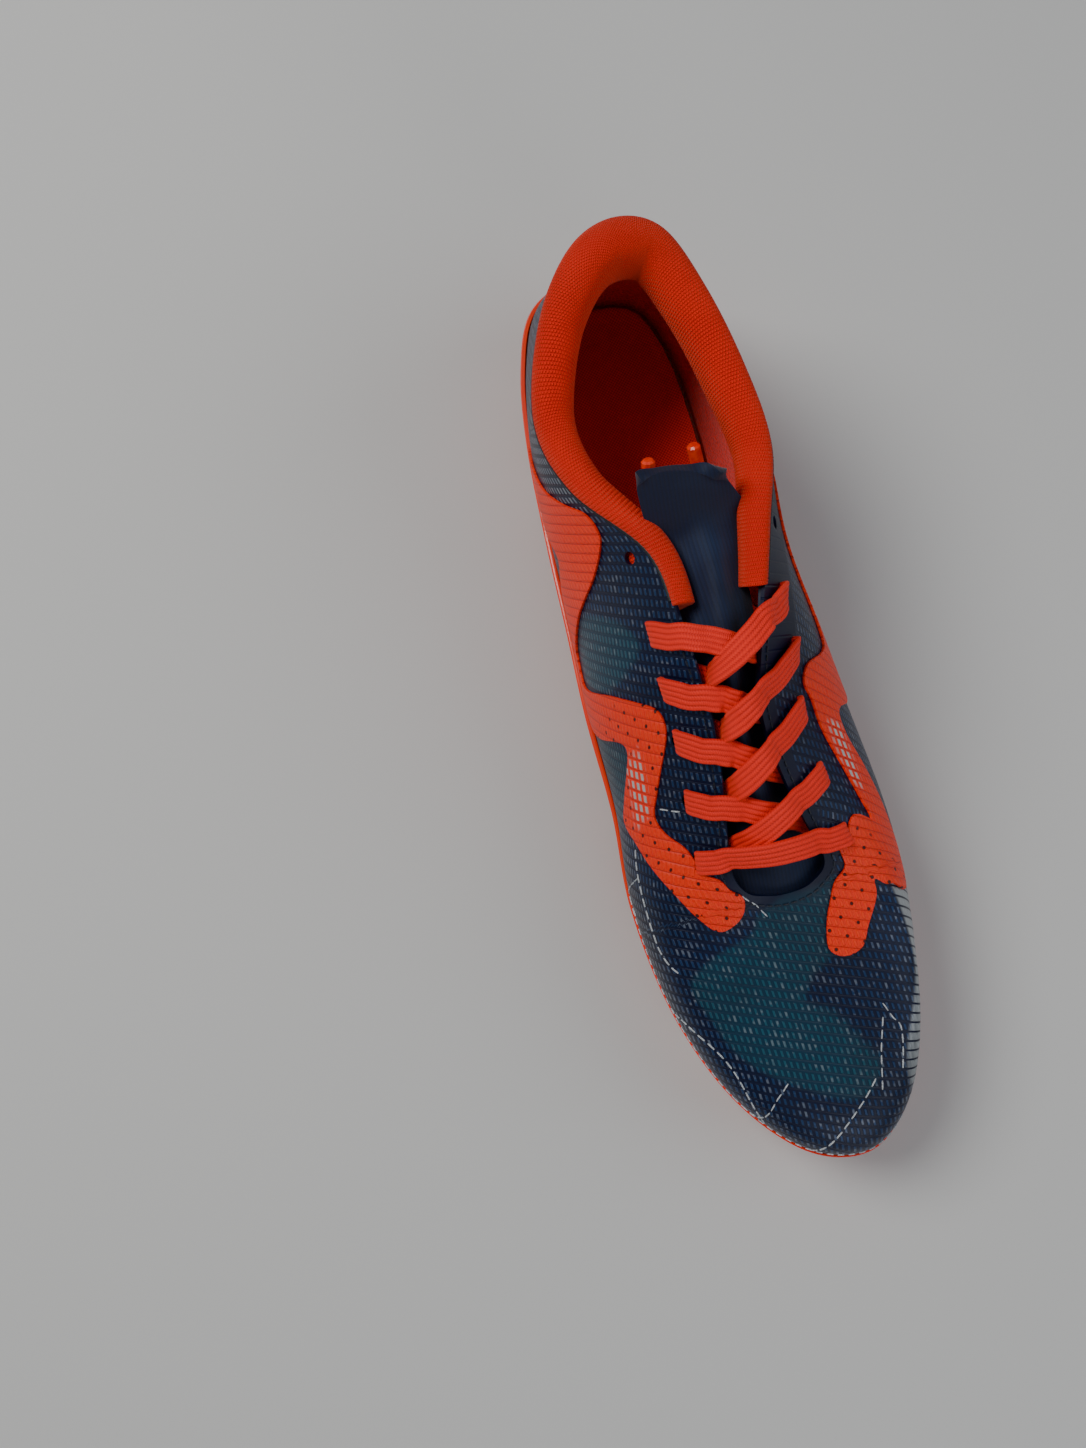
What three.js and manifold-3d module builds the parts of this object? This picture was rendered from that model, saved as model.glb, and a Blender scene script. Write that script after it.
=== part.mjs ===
// Soccer cleat, right foot, standing on its studs: a low-cut lace-up boot with a moulded outsole whose
// twelve posts carry bonded metal caps. Millimetres, +Z up, toe towards -Y, medial (big toe) side towards +X.
// The origin lies on the ground, in the middle of the shoe's plan box.
//
// The upper is one smooth surface. It is made of ribs that rise from the feather line, where the upper
// meets the sole, to the topline, which runs round the collar and the lace throat. A rib is a cubic
// curve. Its place round the shoe is theta, from 0 at the heel's back, by the lateral side to 12 at the
// toe and by the medial side to 24, and v runs from 0 at the feather line to 1 at the topline. Every
// layer of the shoe is a stretch of that surface at its own depth.
import * as THREE from 'three';
import { mergeVertices } from 'three/addons/utils/BufferGeometryUtils.js';
import Module from 'manifold-3d';

const wasm = await Module();
wasm.setup();

// Overall sizes
const lastLength = 272; // feather line, heel to toe
const lastWidth = 82; // feather line, across the ball of the foot
const collarHeight = 80; // topline at the heel's back, above the feather line there
const ballHeight = 17; // feather line above the ground under the ball of the foot
const heelRise = 4; // how much higher the heel is than the ball
const toeSpring = 6.5; // how much higher the toe's tip is than the ball

// Clearance between layers that touch on the real shoe
const gap = 0.3;

// Upper and what is behind it
const upperThick = 1.2;
const stiffenerThick = 1.0; // heel counter and toe puff
const liningThick = 0.8;
const eyestayThick = 0.8;
const overlayThick = 0.7;
const overlayWidth = 13;
const overlayLift = 0.45; // extra clearance over the upper's facets
const eyestaySetback = 0.8; // the facings stop this far short of the throat's edge
const throatPatchWidth = 9;
const liningSplit = 5.8; // theta where the heel lining meets the forefoot lining
const seamGap = 0.06; // half the seam between them, in theta

// Insides under the foot
const boardThick = 1.4;
const sockThick = 3.2;
const sockRim = 1.8; // the sockliner's raised rim

// Outsole
const plateThick = 3.0;
const plateRecess = 0.9; // the moulded panel between the studs lies this much higher
const plateBorder = 4;
const lipThick = 1.7;
const lipHeightToe = 9;
const lipHeightArch = 7;
const lipHeightHeel = 15;
const ribHeight = 2.6;
const ribWidth = 3.2;
const ribRoot = 1.6; // how far a rib is sunk in the plate
const joinSlack = 0.02; // edges shorter than this are dropped where moulded pieces are joined
const archRibFrom = 66;
const archRibTo = 22;

// Studs
const capLength = 8.8;
const capBaseRadius = 6.3;
const capEndRadius = 5.3;
const capShoulder = 1.1; // chamfer round the cap's end
const spigotRadius = 2.6;
const spigotLength = 5.4; // how far a post's spigot goes into its cap
const postRadius = 6.5;
const postFlare = 2.4; // how much wider a post is where it leaves the plate
const studSides = 10;
const studEdge = 9.5; // stud axis to feather line
const studRows = [
  { lateral: 117, medial: 113 },
  { lateral: 84, medial: 82 },
  { lateral: 4, medial: 8 },
  { lateral: -24, medial: -19 },
  { lateral: -66, medial: -56 },
  { lateral: -99, medial: -96 },
]; // y of each stud, heel to toe

// Collar
const collarPad = 8.5; // foam thickness at its fullest
const collarDrop = 27; // how far the foam reaches down inside
const collarCoverThick = 0.9;
const collarCrown = 3.2; // how far the padded roll stands above the upper's edge
const collarArmDrop = 10; // and how far along its arms
const collarEnd = 5.56; // theta where the roll's arms end
const collarTaper = 0.3; // share of its fullness that the roll loses towards those ends
const collarBackGap = 0.6; // foam's back to the upper's inner face

// Tongue
const tongueFaceThick = 1.0;
const tongueFoamThick = 3.2;
const tongueLiningThick = 0.8;
const tongueBaseY = -48; // first straight row across the throat
const tongueHingeY = 42; // line where the free flap starts, behind the collar's arms
const tongueHingeRoom = 1.25; // the sewn part stops this far short of it
const tongueArmY = 16; // from here on the tongue lies under the collar's arms
const tongueArcHalf = 2.4; // half of the theta range that the tongue's sewn end spans
const tongueTuck = 16; // how far the tongue's sides reach under the throat's edges
const tongueTuckTaper = 10.5; // how much less they reach by the top eyelets, where the lace dives
const tongueSeat = 2.95; // depth where the tongue is sewn in
const tongueDepthEdge = 6.3; // depth under the throat's edges, below the lace
const tongueDepthArm = 11; // and below the collar's arms
const tongueDepthCentre = 2.9;
const tongueDepthFlap = 4; // depth of its middle at the hinge line
const throatCrown = 3; // how far the bridged throat stands above its edges
const tongueLayerGap = 0.4; // between its face, foam and lining
const tongueFlapLength = 18;
const tongueFlapSteps = 4;
const tongueFlapStart = 24; // the flap's slope at the hinge and at its top, degrees
const tongueFlapEnd = 46;
const tongueFlapRoot = 6.5; // half width at the hinge line, and how much each side widens above it
const tongueFlare = 6;
const tongueFlapSag = 2.5; // drop of its sides below its middle
const tongueFlapLean = 25; // lean of its face at its sides, degrees

// Lace and eyelets
const laceWidth = 7.2;
const laceThick = 1.2;
const laceNeck = 3.9; // width where the lace is bunched in an eyelet
const eyeletRadius = 2.85;
const eyeletRows = [17, 2.5, -12.5, -29, -44.5]; // y of each row on the throat edge, top to bottom
const eyeletInsets = { lateral: [9.5, 11.5, 11.5, 10.5, 9.5], medial: [10, 15.5, 15.5, 14.5, 13] };
const spareEyeletTheta = 4.95; // the empty eyelet by the collar
const spareEyeletInset = 8;
const facingWidth = 21; // how far a facing reaches from the throat's edge
const eyeletSides = 8;
const laceNeckThick = 1.5;
const barBow = 3; // how far the bottom bar bows towards the toe
const strandLeave = { medial: -3, lateral: 1 }; // where a strand leaves its facing, from its row's y
// From the top eyelet's centre, mirrored on the lateral side.
const tailOffsets = [
  [-1.8, 0, -4.8], [-3, 3, -10], [-5, 11, -18], [-8, 23, -19], [-10, 33, -13], [-11, 41, -5],
];
const agletRadius = 2;
const agletBore = 1.5;
const agletOverlap = 5;
const agletLength = 14;

// The last: one row for each rib, from the heel's back round by the lateral side.
// Feather x, y; topline x, y, z above the ground; bulge angle and length of the rib's first
// tangent; pitch angle and length of its last tangent.
const refLength = 272;
const refWidth = 82;
const refCollar = 80;
const ribTable = [
  [0, 136.5, 0, 124, 102, 13, 30, 102, 24],
  [-17, 131.5, -13, 119.5, 99.5, 12, 29, 98, 22],
  [-25, 114.5, -24.5, 106.5, 88.5, 10, 27, 90, 20],
  [-29.5, 90, -32, 84, 78, 10, 25, 84, 18],
  [-32, 60, -27.5, 62.5, 78.5, 11, 25, 70, 20],
  [-33.5, 32, -12.3, 38, 85.5, 12, 27, 50, 24],
  [-35, 5, -10.2, 14, 86.5, 13, 28, 40, 25],
  [-35.5, -25, -8.2, -10, 78.5, 14, 26, 33, 26],
  [-38.5, -55, -10.3, -34, 67.5, 15, 24, 28, 26],
  [-35.5, -88, -12.3, -51, 58.8, 14, 24, 24, 27],
  [-25.5, -116.5, -9.5, -58.5, 54.8, 12, 25, 21, 34],
  [-10, -136, -3.5, -61.2, 53, 9, 25, 18, 42],
  [7, -141.5, 3, -62, 52.8, 8, 25, 18, 46],
  [20.5, -132.5, 9.5, -60.8, 53.8, 9, 25, 19, 41],
  [29, -112, 14.5, -55.5, 56.5, 12, 25, 22, 33],
  [37.5, -84, 10.5, -42, 65, 14, 25, 26, 27],
  [40.5, -55, 6.8, -27, 72.5, 15, 26, 31, 27],
  [38.5, -25, 5.6, -10, 79.5, 14, 28, 36, 27],
  [33, 5, 12, 13, 87, 13, 30, 44, 26],
  [27.5, 32, 20.5, 37, 85.5, 12, 29, 62, 23],
  [25, 60, 28.5, 60, 81, 11, 27, 78, 20],
  [25.5, 90, 27, 83, 83.5, 10, 26, 86, 19],
  [23.5, 114.5, 21, 104, 91.5, 10, 27, 92, 20],
  [16, 131.5, 12.5, 119.5, 99.5, 12, 29, 98, 22],
];
const stations = ribTable.length;
const toeTheta = stations / 2;
const lengthShare = lastLength / refLength;

const up = new THREE.Vector3(0, 0, 1);
const rad = THREE.MathUtils.degToRad;
const smooth = THREE.MathUtils.smoothstep;

// Smooth closed curve through one column of the table.
function tableValue(column, theta) {
  const base = Math.floor(theta);
  const t = theta - base;
  const at = (k) => ribTable[(((base + k) % stations) + stations) % stations][column];
  const [a, b, c, d] = [at(-1), at(0), at(1), at(2)];
  return b + 0.5 * t * (c - a + t * (2 * a - 5 * b + 4 * c - d + t * (3 * (b - c) + d - a)));
}

// Height of the feather line at a place along the shoe.
function featherHeight(y) {
  const toeStart = -0.18 * lastLength;
  const toeLength = 0.32 * lastLength;
  const spring = Math.max(0, (toeStart - y) / toeLength);
  return ballHeight + heelRise * smooth(y, -0.2 * lastLength, 0.22 * lastLength) + toeSpring * spring ** 2;
}

function featherPoint(theta) {
  const x = tableValue(0, theta) * (lastWidth / refWidth);
  const y = tableValue(1, theta) * (lastLength / refLength);
  return new THREE.Vector3(x, y, featherHeight(y));
}

// Level, outward direction at the feather line.
function outward(theta) {
  const step = featherPoint(theta + 0.02).sub(featherPoint(theta - 0.02));
  return new THREE.Vector3(step.y, -step.x, 0).normalize();
}

function toplinePoint(theta) {
  const x = tableValue(2, theta) * (lastWidth / refWidth);
  const y = tableValue(3, theta) * (lastLength / refLength);
  const base = featherHeight(y);
  const refBase = 21 - 4 * smooth(-y, -0.22 * lastLength, 0.2 * lastLength);
  return new THREE.Vector3(x, y, base + (tableValue(4, theta) - refBase) * (collarHeight / refCollar));
}

// Point on the upper's outer face. Past v = 1 a rib runs straight on.
function surfacePoint(theta, v) {
  const side = outward(theta);
  const bulge = rad(tableValue(5, theta));
  const pitch = rad(tableValue(7, theta));
  const start = featherPoint(theta);
  const end = toplinePoint(theta);
  const rise = up.clone().multiplyScalar(Math.cos(bulge)).addScaledVector(side, Math.sin(bulge));
  const arrive = up.clone().multiplyScalar(Math.sin(pitch)).addScaledVector(side, -Math.cos(pitch));
  const p1 = start.clone().addScaledVector(rise, tableValue(6, theta));
  const p2 = end.clone().addScaledVector(arrive, -tableValue(8, theta));
  if (v > 1) return end.addScaledVector(arrive, (v - 1) * 3 * tableValue(8, theta));
  return new THREE.CubicBezierCurve3(start, p1, p2, end).getPoint(v);
}

function surfaceNormal(theta, v) {
  const along = surfacePoint(theta + 0.03, v).sub(surfacePoint(theta - 0.03, v));
  const rising = surfacePoint(theta, Math.min(v + 0.01, 1)).sub(surfacePoint(theta, Math.min(v, 0.99)));
  return along.cross(rising).normalize();
}

// Point at a depth from the outer face: positive is outside, negative is inside.
function layerPoint(theta, v, depth) {
  return surfacePoint(theta, v).addScaledVector(surfaceNormal(theta, v), depth);
}

// Finds where a rising function reaches a value.
function solve(f, value, low, high) {
  for (let i = 0; i < 40; i++) {
    const mid = (low + high) / 2;
    if (f(mid) < value) low = mid;
    else high = mid;
  }
  return (low + high) / 2;
}

// v at a distance down a rib from the topline, and up a rib from the feather line.
const ribSteps = 24;
function ribLength(theta, from, to) {
  let sum = 0;
  for (let i = 0; i < ribSteps; i++) {
    const a = surfacePoint(theta, from + ((to - from) * i) / ribSteps);
    sum += a.distanceTo(surfacePoint(theta, from + ((to - from) * (i + 1)) / ribSteps));
  }
  return sum;
}
const vBelowTop = (theta, mm) => 1 - solve((w) => ribLength(theta, 1 - w, 1), mm, 0, 1);
const vAboveFeather = (theta, mm) => solve((v) => ribLength(theta, 0, v), mm, 0, 1);

// ---- Closed solids from grids of points ----

// A closed geometry from points and triangles, facing out whichever way it was strung.
function closedGeometry(points, triangles) {
  let volume = 0;
  for (const [a, b, c] of triangles) volume += points[a].dot(points[b].clone().cross(points[c]));
  const index = triangles.flatMap(([a, b, c]) => (volume < 0 ? [a, c, b] : [a, b, c]));
  return new THREE.BufferGeometry()
    .setAttribute('position', new THREE.Float32BufferAttribute(points.flatMap((p) => p.toArray()), 3))
    .setIndex(index);
}

function quad(triangles, a, b, c, d) {
  triangles.push([a, b, c], [a, c, d]);
}

// Rings of equal length, one inside the other. Either the last ring joins the first, or the first and
// last ring are closed by strips across the shoe, which run from point i to point n - i.
function ringSolid(rings, joined) {
  const n = rings[0].length;
  const points = rings.flat();
  const triangles = [];
  const last = joined ? rings.length : rings.length - 1;
  for (let r = 0; r < last; r++) {
    const here = r * n;
    const next = ((r + 1) % rings.length) * n;
    for (let i = 0; i < n; i++) {
      const j = (i + 1) % n;
      quad(triangles, here + i, here + j, next + j, next + i);
    }
  }
  if (!joined) {
    for (const [base, turned] of [[0, true], [(rings.length - 1) * n, false]]) {
      for (let i = 0; i < n / 2; i++) {
        const [a, b] = [base + i, base + i + 1];
        const [c, d] = [base + n - i - 1, base + ((n - i) % n)];
        const faces = [];
        if (b !== c) faces.push([a, b, c]);
        if (a !== d) faces.push([a, c, d]);
        for (const [p, q, s] of faces) triangles.push(turned ? [p, s, q] : [p, q, s]);
      }
    }
  }
  return closedGeometry(points, triangles);
}

// A slab between two grids of the same size: grid[i][j].
function slabSolid(outer, inner) {
  const [m, n] = [outer.length, outer[0].length];
  const points = [...outer.flat(), ...inner.flat()];
  const at = (layer, i, j) => layer * m * n + i * n + j;
  const triangles = [];
  for (let i = 0; i < m - 1; i++) {
    for (let j = 0; j < n - 1; j++) {
      quad(triangles, at(0, i, j), at(0, i + 1, j), at(0, i + 1, j + 1), at(0, i, j + 1));
      quad(triangles, at(1, i, j), at(1, i, j + 1), at(1, i + 1, j + 1), at(1, i + 1, j));
    }
  }
  for (let i = 0; i < m - 1; i++) {
    quad(triangles, at(0, i, 0), at(1, i, 0), at(1, i + 1, 0), at(0, i + 1, 0));
    quad(triangles, at(0, i, n - 1), at(0, i + 1, n - 1), at(1, i + 1, n - 1), at(1, i, n - 1));
  }
  for (let j = 0; j < n - 1; j++) {
    quad(triangles, at(0, 0, j), at(0, 0, j + 1), at(1, 0, j + 1), at(1, 0, j));
    quad(triangles, at(0, m - 1, j), at(1, m - 1, j), at(1, m - 1, j + 1), at(0, m - 1, j + 1));
  }
  return closedGeometry(points, triangles);
}

// A tube through sections of equal length. Its ends are closed as the flat outlines given for them.
function sweptSolid(sections, startOutline, endOutline) {
  const n = sections[0].length;
  const points = sections.flat();
  const triangles = [];
  for (let s = 0; s < sections.length - 1; s++) {
    for (let i = 0; i < n; i++) {
      const j = (i + 1) % n;
      quad(triangles, s * n + i, s * n + j, (s + 1) * n + j, (s + 1) * n + i);
    }
  }
  const end = (sections.length - 1) * n;
  for (const [outline, base, turned] of [[startOutline, 0, true], [endOutline, end, false]]) {
    const flat = outline.map(([a, b]) => new THREE.Vector2(a, b));
    const away = THREE.ShapeUtils.isClockWise(flat) !== turned;
    for (const face of THREE.ShapeUtils.triangulateShape(flat, [])) {
      const [a, b, c] = face.map((i) => base + i);
      triangles.push(away ? [a, c, b] : [a, b, c]);
    }
  }
  return closedGeometry(points, triangles);
}

// ---- Joining and cutting ----

function toSolid(geometry) {
  const bare = geometry.clone();
  bare.deleteAttribute('normal');
  bare.deleteAttribute('uv');
  const merged = mergeVertices(bare, 1e-4);
  return new wasm.Manifold(
    new wasm.Mesh({
      numProp: 3,
      vertProperties: merged.attributes.position.array,
      triVerts: new Uint32Array(merged.index.array),
    }),
  );
}

function toGeometry(solid) {
  const mesh = solid.getMesh();
  return new THREE.BufferGeometry()
    .setAttribute('position', new THREE.BufferAttribute(Float32Array.from(mesh.vertProperties), 3))
    .setIndex(new THREE.BufferAttribute(Uint32Array.from(mesh.triVerts), 1));
}

// A round bar from a point along a direction.
function bar(from, direction, length, radius) {
  const geometry = new THREE.CylinderGeometry(radius, radius, length, eyeletSides);
  const turn = new THREE.Quaternion().setFromUnitVectors(new THREE.Vector3(0, 1, 0), direction);
  const middle = from.clone().addScaledVector(direction, length / 2);
  return geometry.applyMatrix4(new THREE.Matrix4().compose(middle, turn, new THREE.Vector3(1, 1, 1)));
}

// ---- Materials ----

const finish = (color, roughness, metalness = 0) =>
  new THREE.MeshStandardMaterial({ color, roughness, metalness });
const orangeMoulded = finish(0xff2a08, 0.32);
const orangeKnit = finish(0xff2408, 0.85);
const orangeOverlay = finish(0xff2e0c, 0.5);
const navySynthetic = finish(0x0b1c3c, 0.42);
const navySmooth = finish(0x0a1730, 0.5);
const foamGrey = finish(0xd9d6cf, 0.95);
const boardWhite = finish(0xcfc8b8, 0.9);
const stiffenerGrey = finish(0xb9b4aa, 0.8);
const aluminium = finish(0xb9bbbd, 0.3, 1);
const agletClear = finish(0xff3512, 0.2);

const shoe = new THREE.Group();
function addPiece(name, geometry, material) {
  const mesh = new THREE.Mesh(geometry, material);
  mesh.name = name;
  shoe.add(mesh);
  return mesh;
}

// ---- Layers of the upper ----

const loopSamples = 60;
const loopThetas = Array.from({ length: loopSamples }, (_, i) => (i * stations) / loopSamples);
const layerRing = (v, depth) => loopThetas.map((theta) => layerPoint(theta, v, depth));

// A stretch of one layer between two thetas and two heights.
function layerPatch(thetas, heights, outerDepth, innerDepth) {
  const grid = (depth) => thetas.map((theta) => heights(theta).map((v) => layerPoint(theta, v, depth)));
  return slabSolid(grid(outerDepth), grid(innerDepth));
}

const spread = (low, high, count) =>
  Array.from({ length: count + 1 }, (_, i) => low + ((high - low) * i) / count);

// Places on one side of the throat's edge, by their y.
const sides = {
  lateral: { rising: -1, from: 4.7, to: 9.6 },
  medial: { rising: 1, from: 14.2, to: 19.3 },
};
function throatTheta(side, y) {
  const { rising, from, to } = sides[side];
  return solve((theta) => rising * toplinePoint(theta).y, rising * y, from, to);
}

// Eyelets
function eyelet(theta, inset) {
  const v = vBelowTop(theta, inset);
  return { theta, inset, centre: surfacePoint(theta, v), normal: surfaceNormal(theta, v) };
}
const eyelets = {};
for (const side of Object.keys(sides)) {
  eyelets[side] = eyeletRows.map((y, i) =>
    eyelet(throatTheta(side, y * lengthShare), eyeletInsets[side][i]),
  );
}
const spareEyelets = [spareEyeletTheta, stations - spareEyeletTheta].map((theta) =>
  eyelet(theta, spareEyeletInset),
);
const punchReach = 7;
const punches = [...eyelets.lateral, ...eyelets.medial, ...spareEyelets].map(({ centre, normal }) =>
  toSolid(bar(centre.clone().addScaledVector(normal, -punchReach), normal, 2 * punchReach, eyeletRadius)),
);
const punched = (geometry) =>
  toGeometry(punches.reduce((solid, punch) => solid.subtract(punch), toSolid(geometry)));

function addUpper() {
  const rows = spread(0, 1, 9);
  const outer = rows.map((v) => layerRing(v, 0));
  const inner = rows.map((v) => layerRing(v, -upperThick)).reverse();
  addPiece('upper_shell', punched(ringSolid([...outer, ...inner], true)), navySynthetic);
}

// Depths of the layers behind the upper
const insideUpper = -upperThick;
const stiffenerDepth = insideUpper - gap;
const facingDepth = stiffenerDepth - 0.1;
const liningDepth = stiffenerDepth - stiffenerThick - gap;
const insideDepth = liningDepth - liningThick;

function addStiffeners() {
  const counterTop = (theta) => 0.62 - 0.05 * Math.abs(theta);
  const counter = layerPatch(
    spread(-3.6, 3.6, 18),
    (theta) => spread(0.02, counterTop(theta), 5),
    stiffenerDepth,
    stiffenerDepth - stiffenerThick,
  );
  addPiece('heel_counter', counter, stiffenerGrey);
  const puff = layerPatch(
    spread(toeTheta - 2.4, toeTheta + 2.4, 12),
    (theta) => spread(0.02, 0.42 - 0.03 * (theta - toeTheta) ** 2, 4),
    stiffenerDepth,
    stiffenerDepth - stiffenerThick,
  );
  addPiece('toe_puff', puff, stiffenerGrey);
}

// How far down inside the collar's padding reaches.
const padDrop = (theta) =>
  THREE.MathUtils.lerp(collarDrop, collarArmDrop, smooth(Math.abs(theta), 3, 5.2));

function addLinings() {
  const heel = layerPatch(
    spread(-liningSplit + seamGap, liningSplit - seamGap, 28),
    (theta) => spread(0.02, vBelowTop(theta, padDrop(theta) + 2), 5),
    liningDepth,
    insideDepth,
  );
  addPiece('heel_lining', heel, orangeKnit);
  const forefoot = layerPatch(
    spread(liningSplit + seamGap, stations - liningSplit - seamGap, 32),
    (theta) => spread(0.02, vBelowTop(theta, facingWidth + 2), 6),
    liningDepth,
    insideDepth,
  );
  addPiece('forefoot_lining', forefoot, orangeKnit);
}

// Facings under the throat's edges.
const past = (theta, mm) => 1 + mm / (3 * tableValue(8, theta));
// The multiples of a step between two values, with the two themselves: the shell's own grid.
function onGrid(from, to, step) {
  const inside = [];
  for (let i = Math.ceil(from / step + 0.25); i * step < to - step / 4; i++) inside.push(i * step);
  return [from, ...inside, to];
}

function addEyestays() {
  const ranges = { lateral: [5.63, 9.1], medial: [14.3, 18.37] };
  for (const [side, [from, to]] of Object.entries(ranges)) {
    const facing = layerPatch(
      onGrid(from, to, stations / loopSamples),
      (theta) => spread(vBelowTop(theta, facingWidth), vBelowTop(theta, eyestaySetback), 4),
      facingDepth,
      facingDepth - eyestayThick,
    );
    addPiece('eyestay_' + side, punched(facing), navySmooth);
  }
  const patch = layerPatch(
    onGrid(9.25, 14.15, stations / loopSamples),
    (theta) => spread(vBelowTop(theta, throatPatchWidth), vBelowTop(theta, eyestaySetback), 3),
    facingDepth,
    facingDepth - eyestayThick,
  );
  addPiece('throat_patch', patch, navySmooth);
}

// Welded overlay: a zigzag band on each side, through these places [theta, v].
const overlayRoutes = {
  lateral: [[2.3, 0.74], [3.4, 0.77], [4.2, 0.72], [4.7, 0.56], [5.2, 0.38], [5.8, 0.3], [6.3, 0.45],
    [6.75, 0.64], [7.2, 0.63], [7.6, 0.57], [8, 0.6], [8.5, 0.68], [9, 0.77], [9.7, 0.84]],
  medial: [[20.6, 0.79], [20, 0.75], [19.4, 0.66], [18.7, 0.6], [18.2, 0.53], [17.6, 0.52],
    [17, 0.55], [16.3, 0.56], [15.6, 0.55], [15, 0.6], [14.4, 0.68], [13.8, 0.75], [13.2, 0.8], [12.6, 0.8]],
};
const overlaySteps = 44;
const overlayAcross = 5;
function addOverlays() {
  for (const [side, route] of Object.entries(overlayRoutes)) {
    const path = new THREE.CatmullRomCurve3(route.map(([theta, v]) => new THREE.Vector3(theta, v, 0)));
    const frames = spread(0, 1, overlaySteps).map((t) => {
      const { x: theta, y: v } = path.getPoint(t);
      const ahead = path.getPoint(Math.min(t + 0.01, 1));
      const behind = path.getPoint(Math.max(t - 0.01, 0));
      const run = surfacePoint(ahead.x, ahead.y).sub(surfacePoint(behind.x, behind.y)).normalize();
      return { theta, v, across: run.cross(surfaceNormal(theta, v)).normalize() };
    });
    const grid = (depth) =>
      frames.map(({ theta, v, across }) =>
        spread(-overlayWidth / 2, overlayWidth / 2, overlayAcross).map((reach) =>
          onSurface(theta, v, across.clone().multiplyScalar(reach), depth),
        ),
      );
    const low = gap + overlayLift;
    addPiece('overlay_' + side, slabSolid(grid(low + overlayThick), grid(low)), orangeOverlay);
  }
}

// The layer point reached from (theta, v) by a short step along the surface.
function onSurface(theta, v, step, depth) {
  const [dTheta, dV] = [0.05, 0.01];
  const origin = surfacePoint(theta, v);
  const a = surfacePoint(theta + dTheta, v).sub(origin).divideScalar(dTheta);
  const b = surfacePoint(theta, v + dV).sub(origin).divideScalar(dV);
  const [aa, ab, bb] = [a.dot(a), a.dot(b), b.dot(b)];
  const [sa, sb] = [step.dot(a), step.dot(b)];
  const det = aa * bb - ab * ab;
  return layerPoint(theta + (sa * bb - sb * ab) / det, v + (sb * aa - sa * ab) / det, depth);
}

// ---- Collar ----

// A collar section lies across the topline: [height above the topline, depth from the outer face].
function collarPoint(theta, [height, depth]) {
  const v = height > 0 ? past(theta, height) : vBelowTop(theta, -height);
  return layerPoint(theta, v, depth);
}

// How full the padding is: full round the heel and thinner towards the ends of its arms.
const collarFullness = (theta) => 1 - collarTaper * smooth(Math.abs(theta), collarEnd - 2.6, collarEnd);

// The foam's face, from the upper's edge over the crown and down its inner side, as [height, depth].
function foamFace(theta) {
  const full = collarFullness(theta);
  const back = insideUpper - collarBackGap;
  const crown = (collarCrown - collarCoverThick - gap) * full;
  const pad = collarPad * full;
  const drop = padDrop(theta);
  return [
    [crown * 0.85, back - pad * 0.12], [crown, back - pad * 0.4], [crown * 0.75, back - pad * 0.7],
    [crown * 0.1, back - pad * 0.9], [-drop * 0.22, back - pad], [-drop * 0.5, back - pad * 0.8],
    [-drop * 0.8, back - pad * 0.3], [-drop, back - 0.4],
  ];
}

function foamProfile(theta) {
  const back = insideUpper - collarBackGap;
  return [...spread(-padDrop(theta), -0.4, 4).map((height) => [height, back]), ...foamFace(theta)];
}

// The knit cover: from the upper's edge over the crown, down past the foam and back inside itself.
function coverProfile(theta) {
  const crown = collarCrown * collarFullness(theta);
  const face = foamFace(theta);
  const offset = (distance) =>
    face.map(([height, depth], i) => {
      const [h0, d0] = face[Math.max(i - 1, 0)];
      const [h1, d1] = face[Math.min(i + 1, face.length - 1)];
      const length = Math.hypot(h1 - h0, d1 - d0);
      return [height - ((d1 - d0) / length) * distance, depth + ((h1 - h0) / length) * distance];
    });
  return [
    [gap, -0.1], [crown * 0.7, -0.35], ...offset(2 * gap + collarCoverThick), ...offset(2 * gap).reverse(),
    [crown * 0.7 - collarCoverThick * 0.7, -0.35 - collarCoverThick * 0.8], [gap, -0.1 - collarCoverThick],
  ];
}

function addCollar() {
  const thetas = spread(-collarEnd, collarEnd, 28);
  const sweep = (profile) => {
    const sections = thetas.map((theta) => profile(theta).map((p) => collarPoint(theta, p)));
    return sweptSolid(sections, profile(-collarEnd), profile(collarEnd));
  };
  addPiece('collar_foam', sweep(foamProfile), foamGrey);
  addPiece('collar_cover', sweep(coverProfile), orangeKnit);
}

// ---- Sole and footbed ----

// A ring parallel to the feather line: inset in plan, and raised from it.
const soleRing = (inset, rise) =>
  loopThetas.map((theta) => {
    const point = featherPoint(theta).addScaledVector(outward(theta), -inset);
    return point.setZ(featherHeight(point.y) + rise);
  });

function addFootbed() {
  const edge = -insideDepth + gap;
  const board = [soleRing(edge, 0), soleRing(edge, boardThick)];
  addPiece('lasting_board', ringSolid(board, false), boardWhite);
  const base = boardThick + gap;
  const sock = [
    soleRing(edge + 8, base),
    soleRing(edge + 0.9, base),
    soleRing(edge + 1.8, base + sockThick + sockRim),
    soleRing(edge + 2.9, base + sockThick + sockRim),
    soleRing(edge + 6, base + sockThick + 0.5),
    soleRing(edge + 11, base + sockThick),
  ];
  addPiece('sockliner', ringSolid(sock, false), orangeKnit);
}

// Height of the outsole's lip up the side of the shoe.
function lipHeight(theta) {
  const fromHeel = Math.min(theta, stations - theta);
  const heel = 1 - smooth(fromHeel, 1.2, 4.2);
  const toe = smooth(fromHeel, 6.5, 10.5);
  return lipHeightArch + (lipHeightHeel - lipHeightArch) * heel + (lipHeightToe - lipHeightArch) * toe;
}

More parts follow.
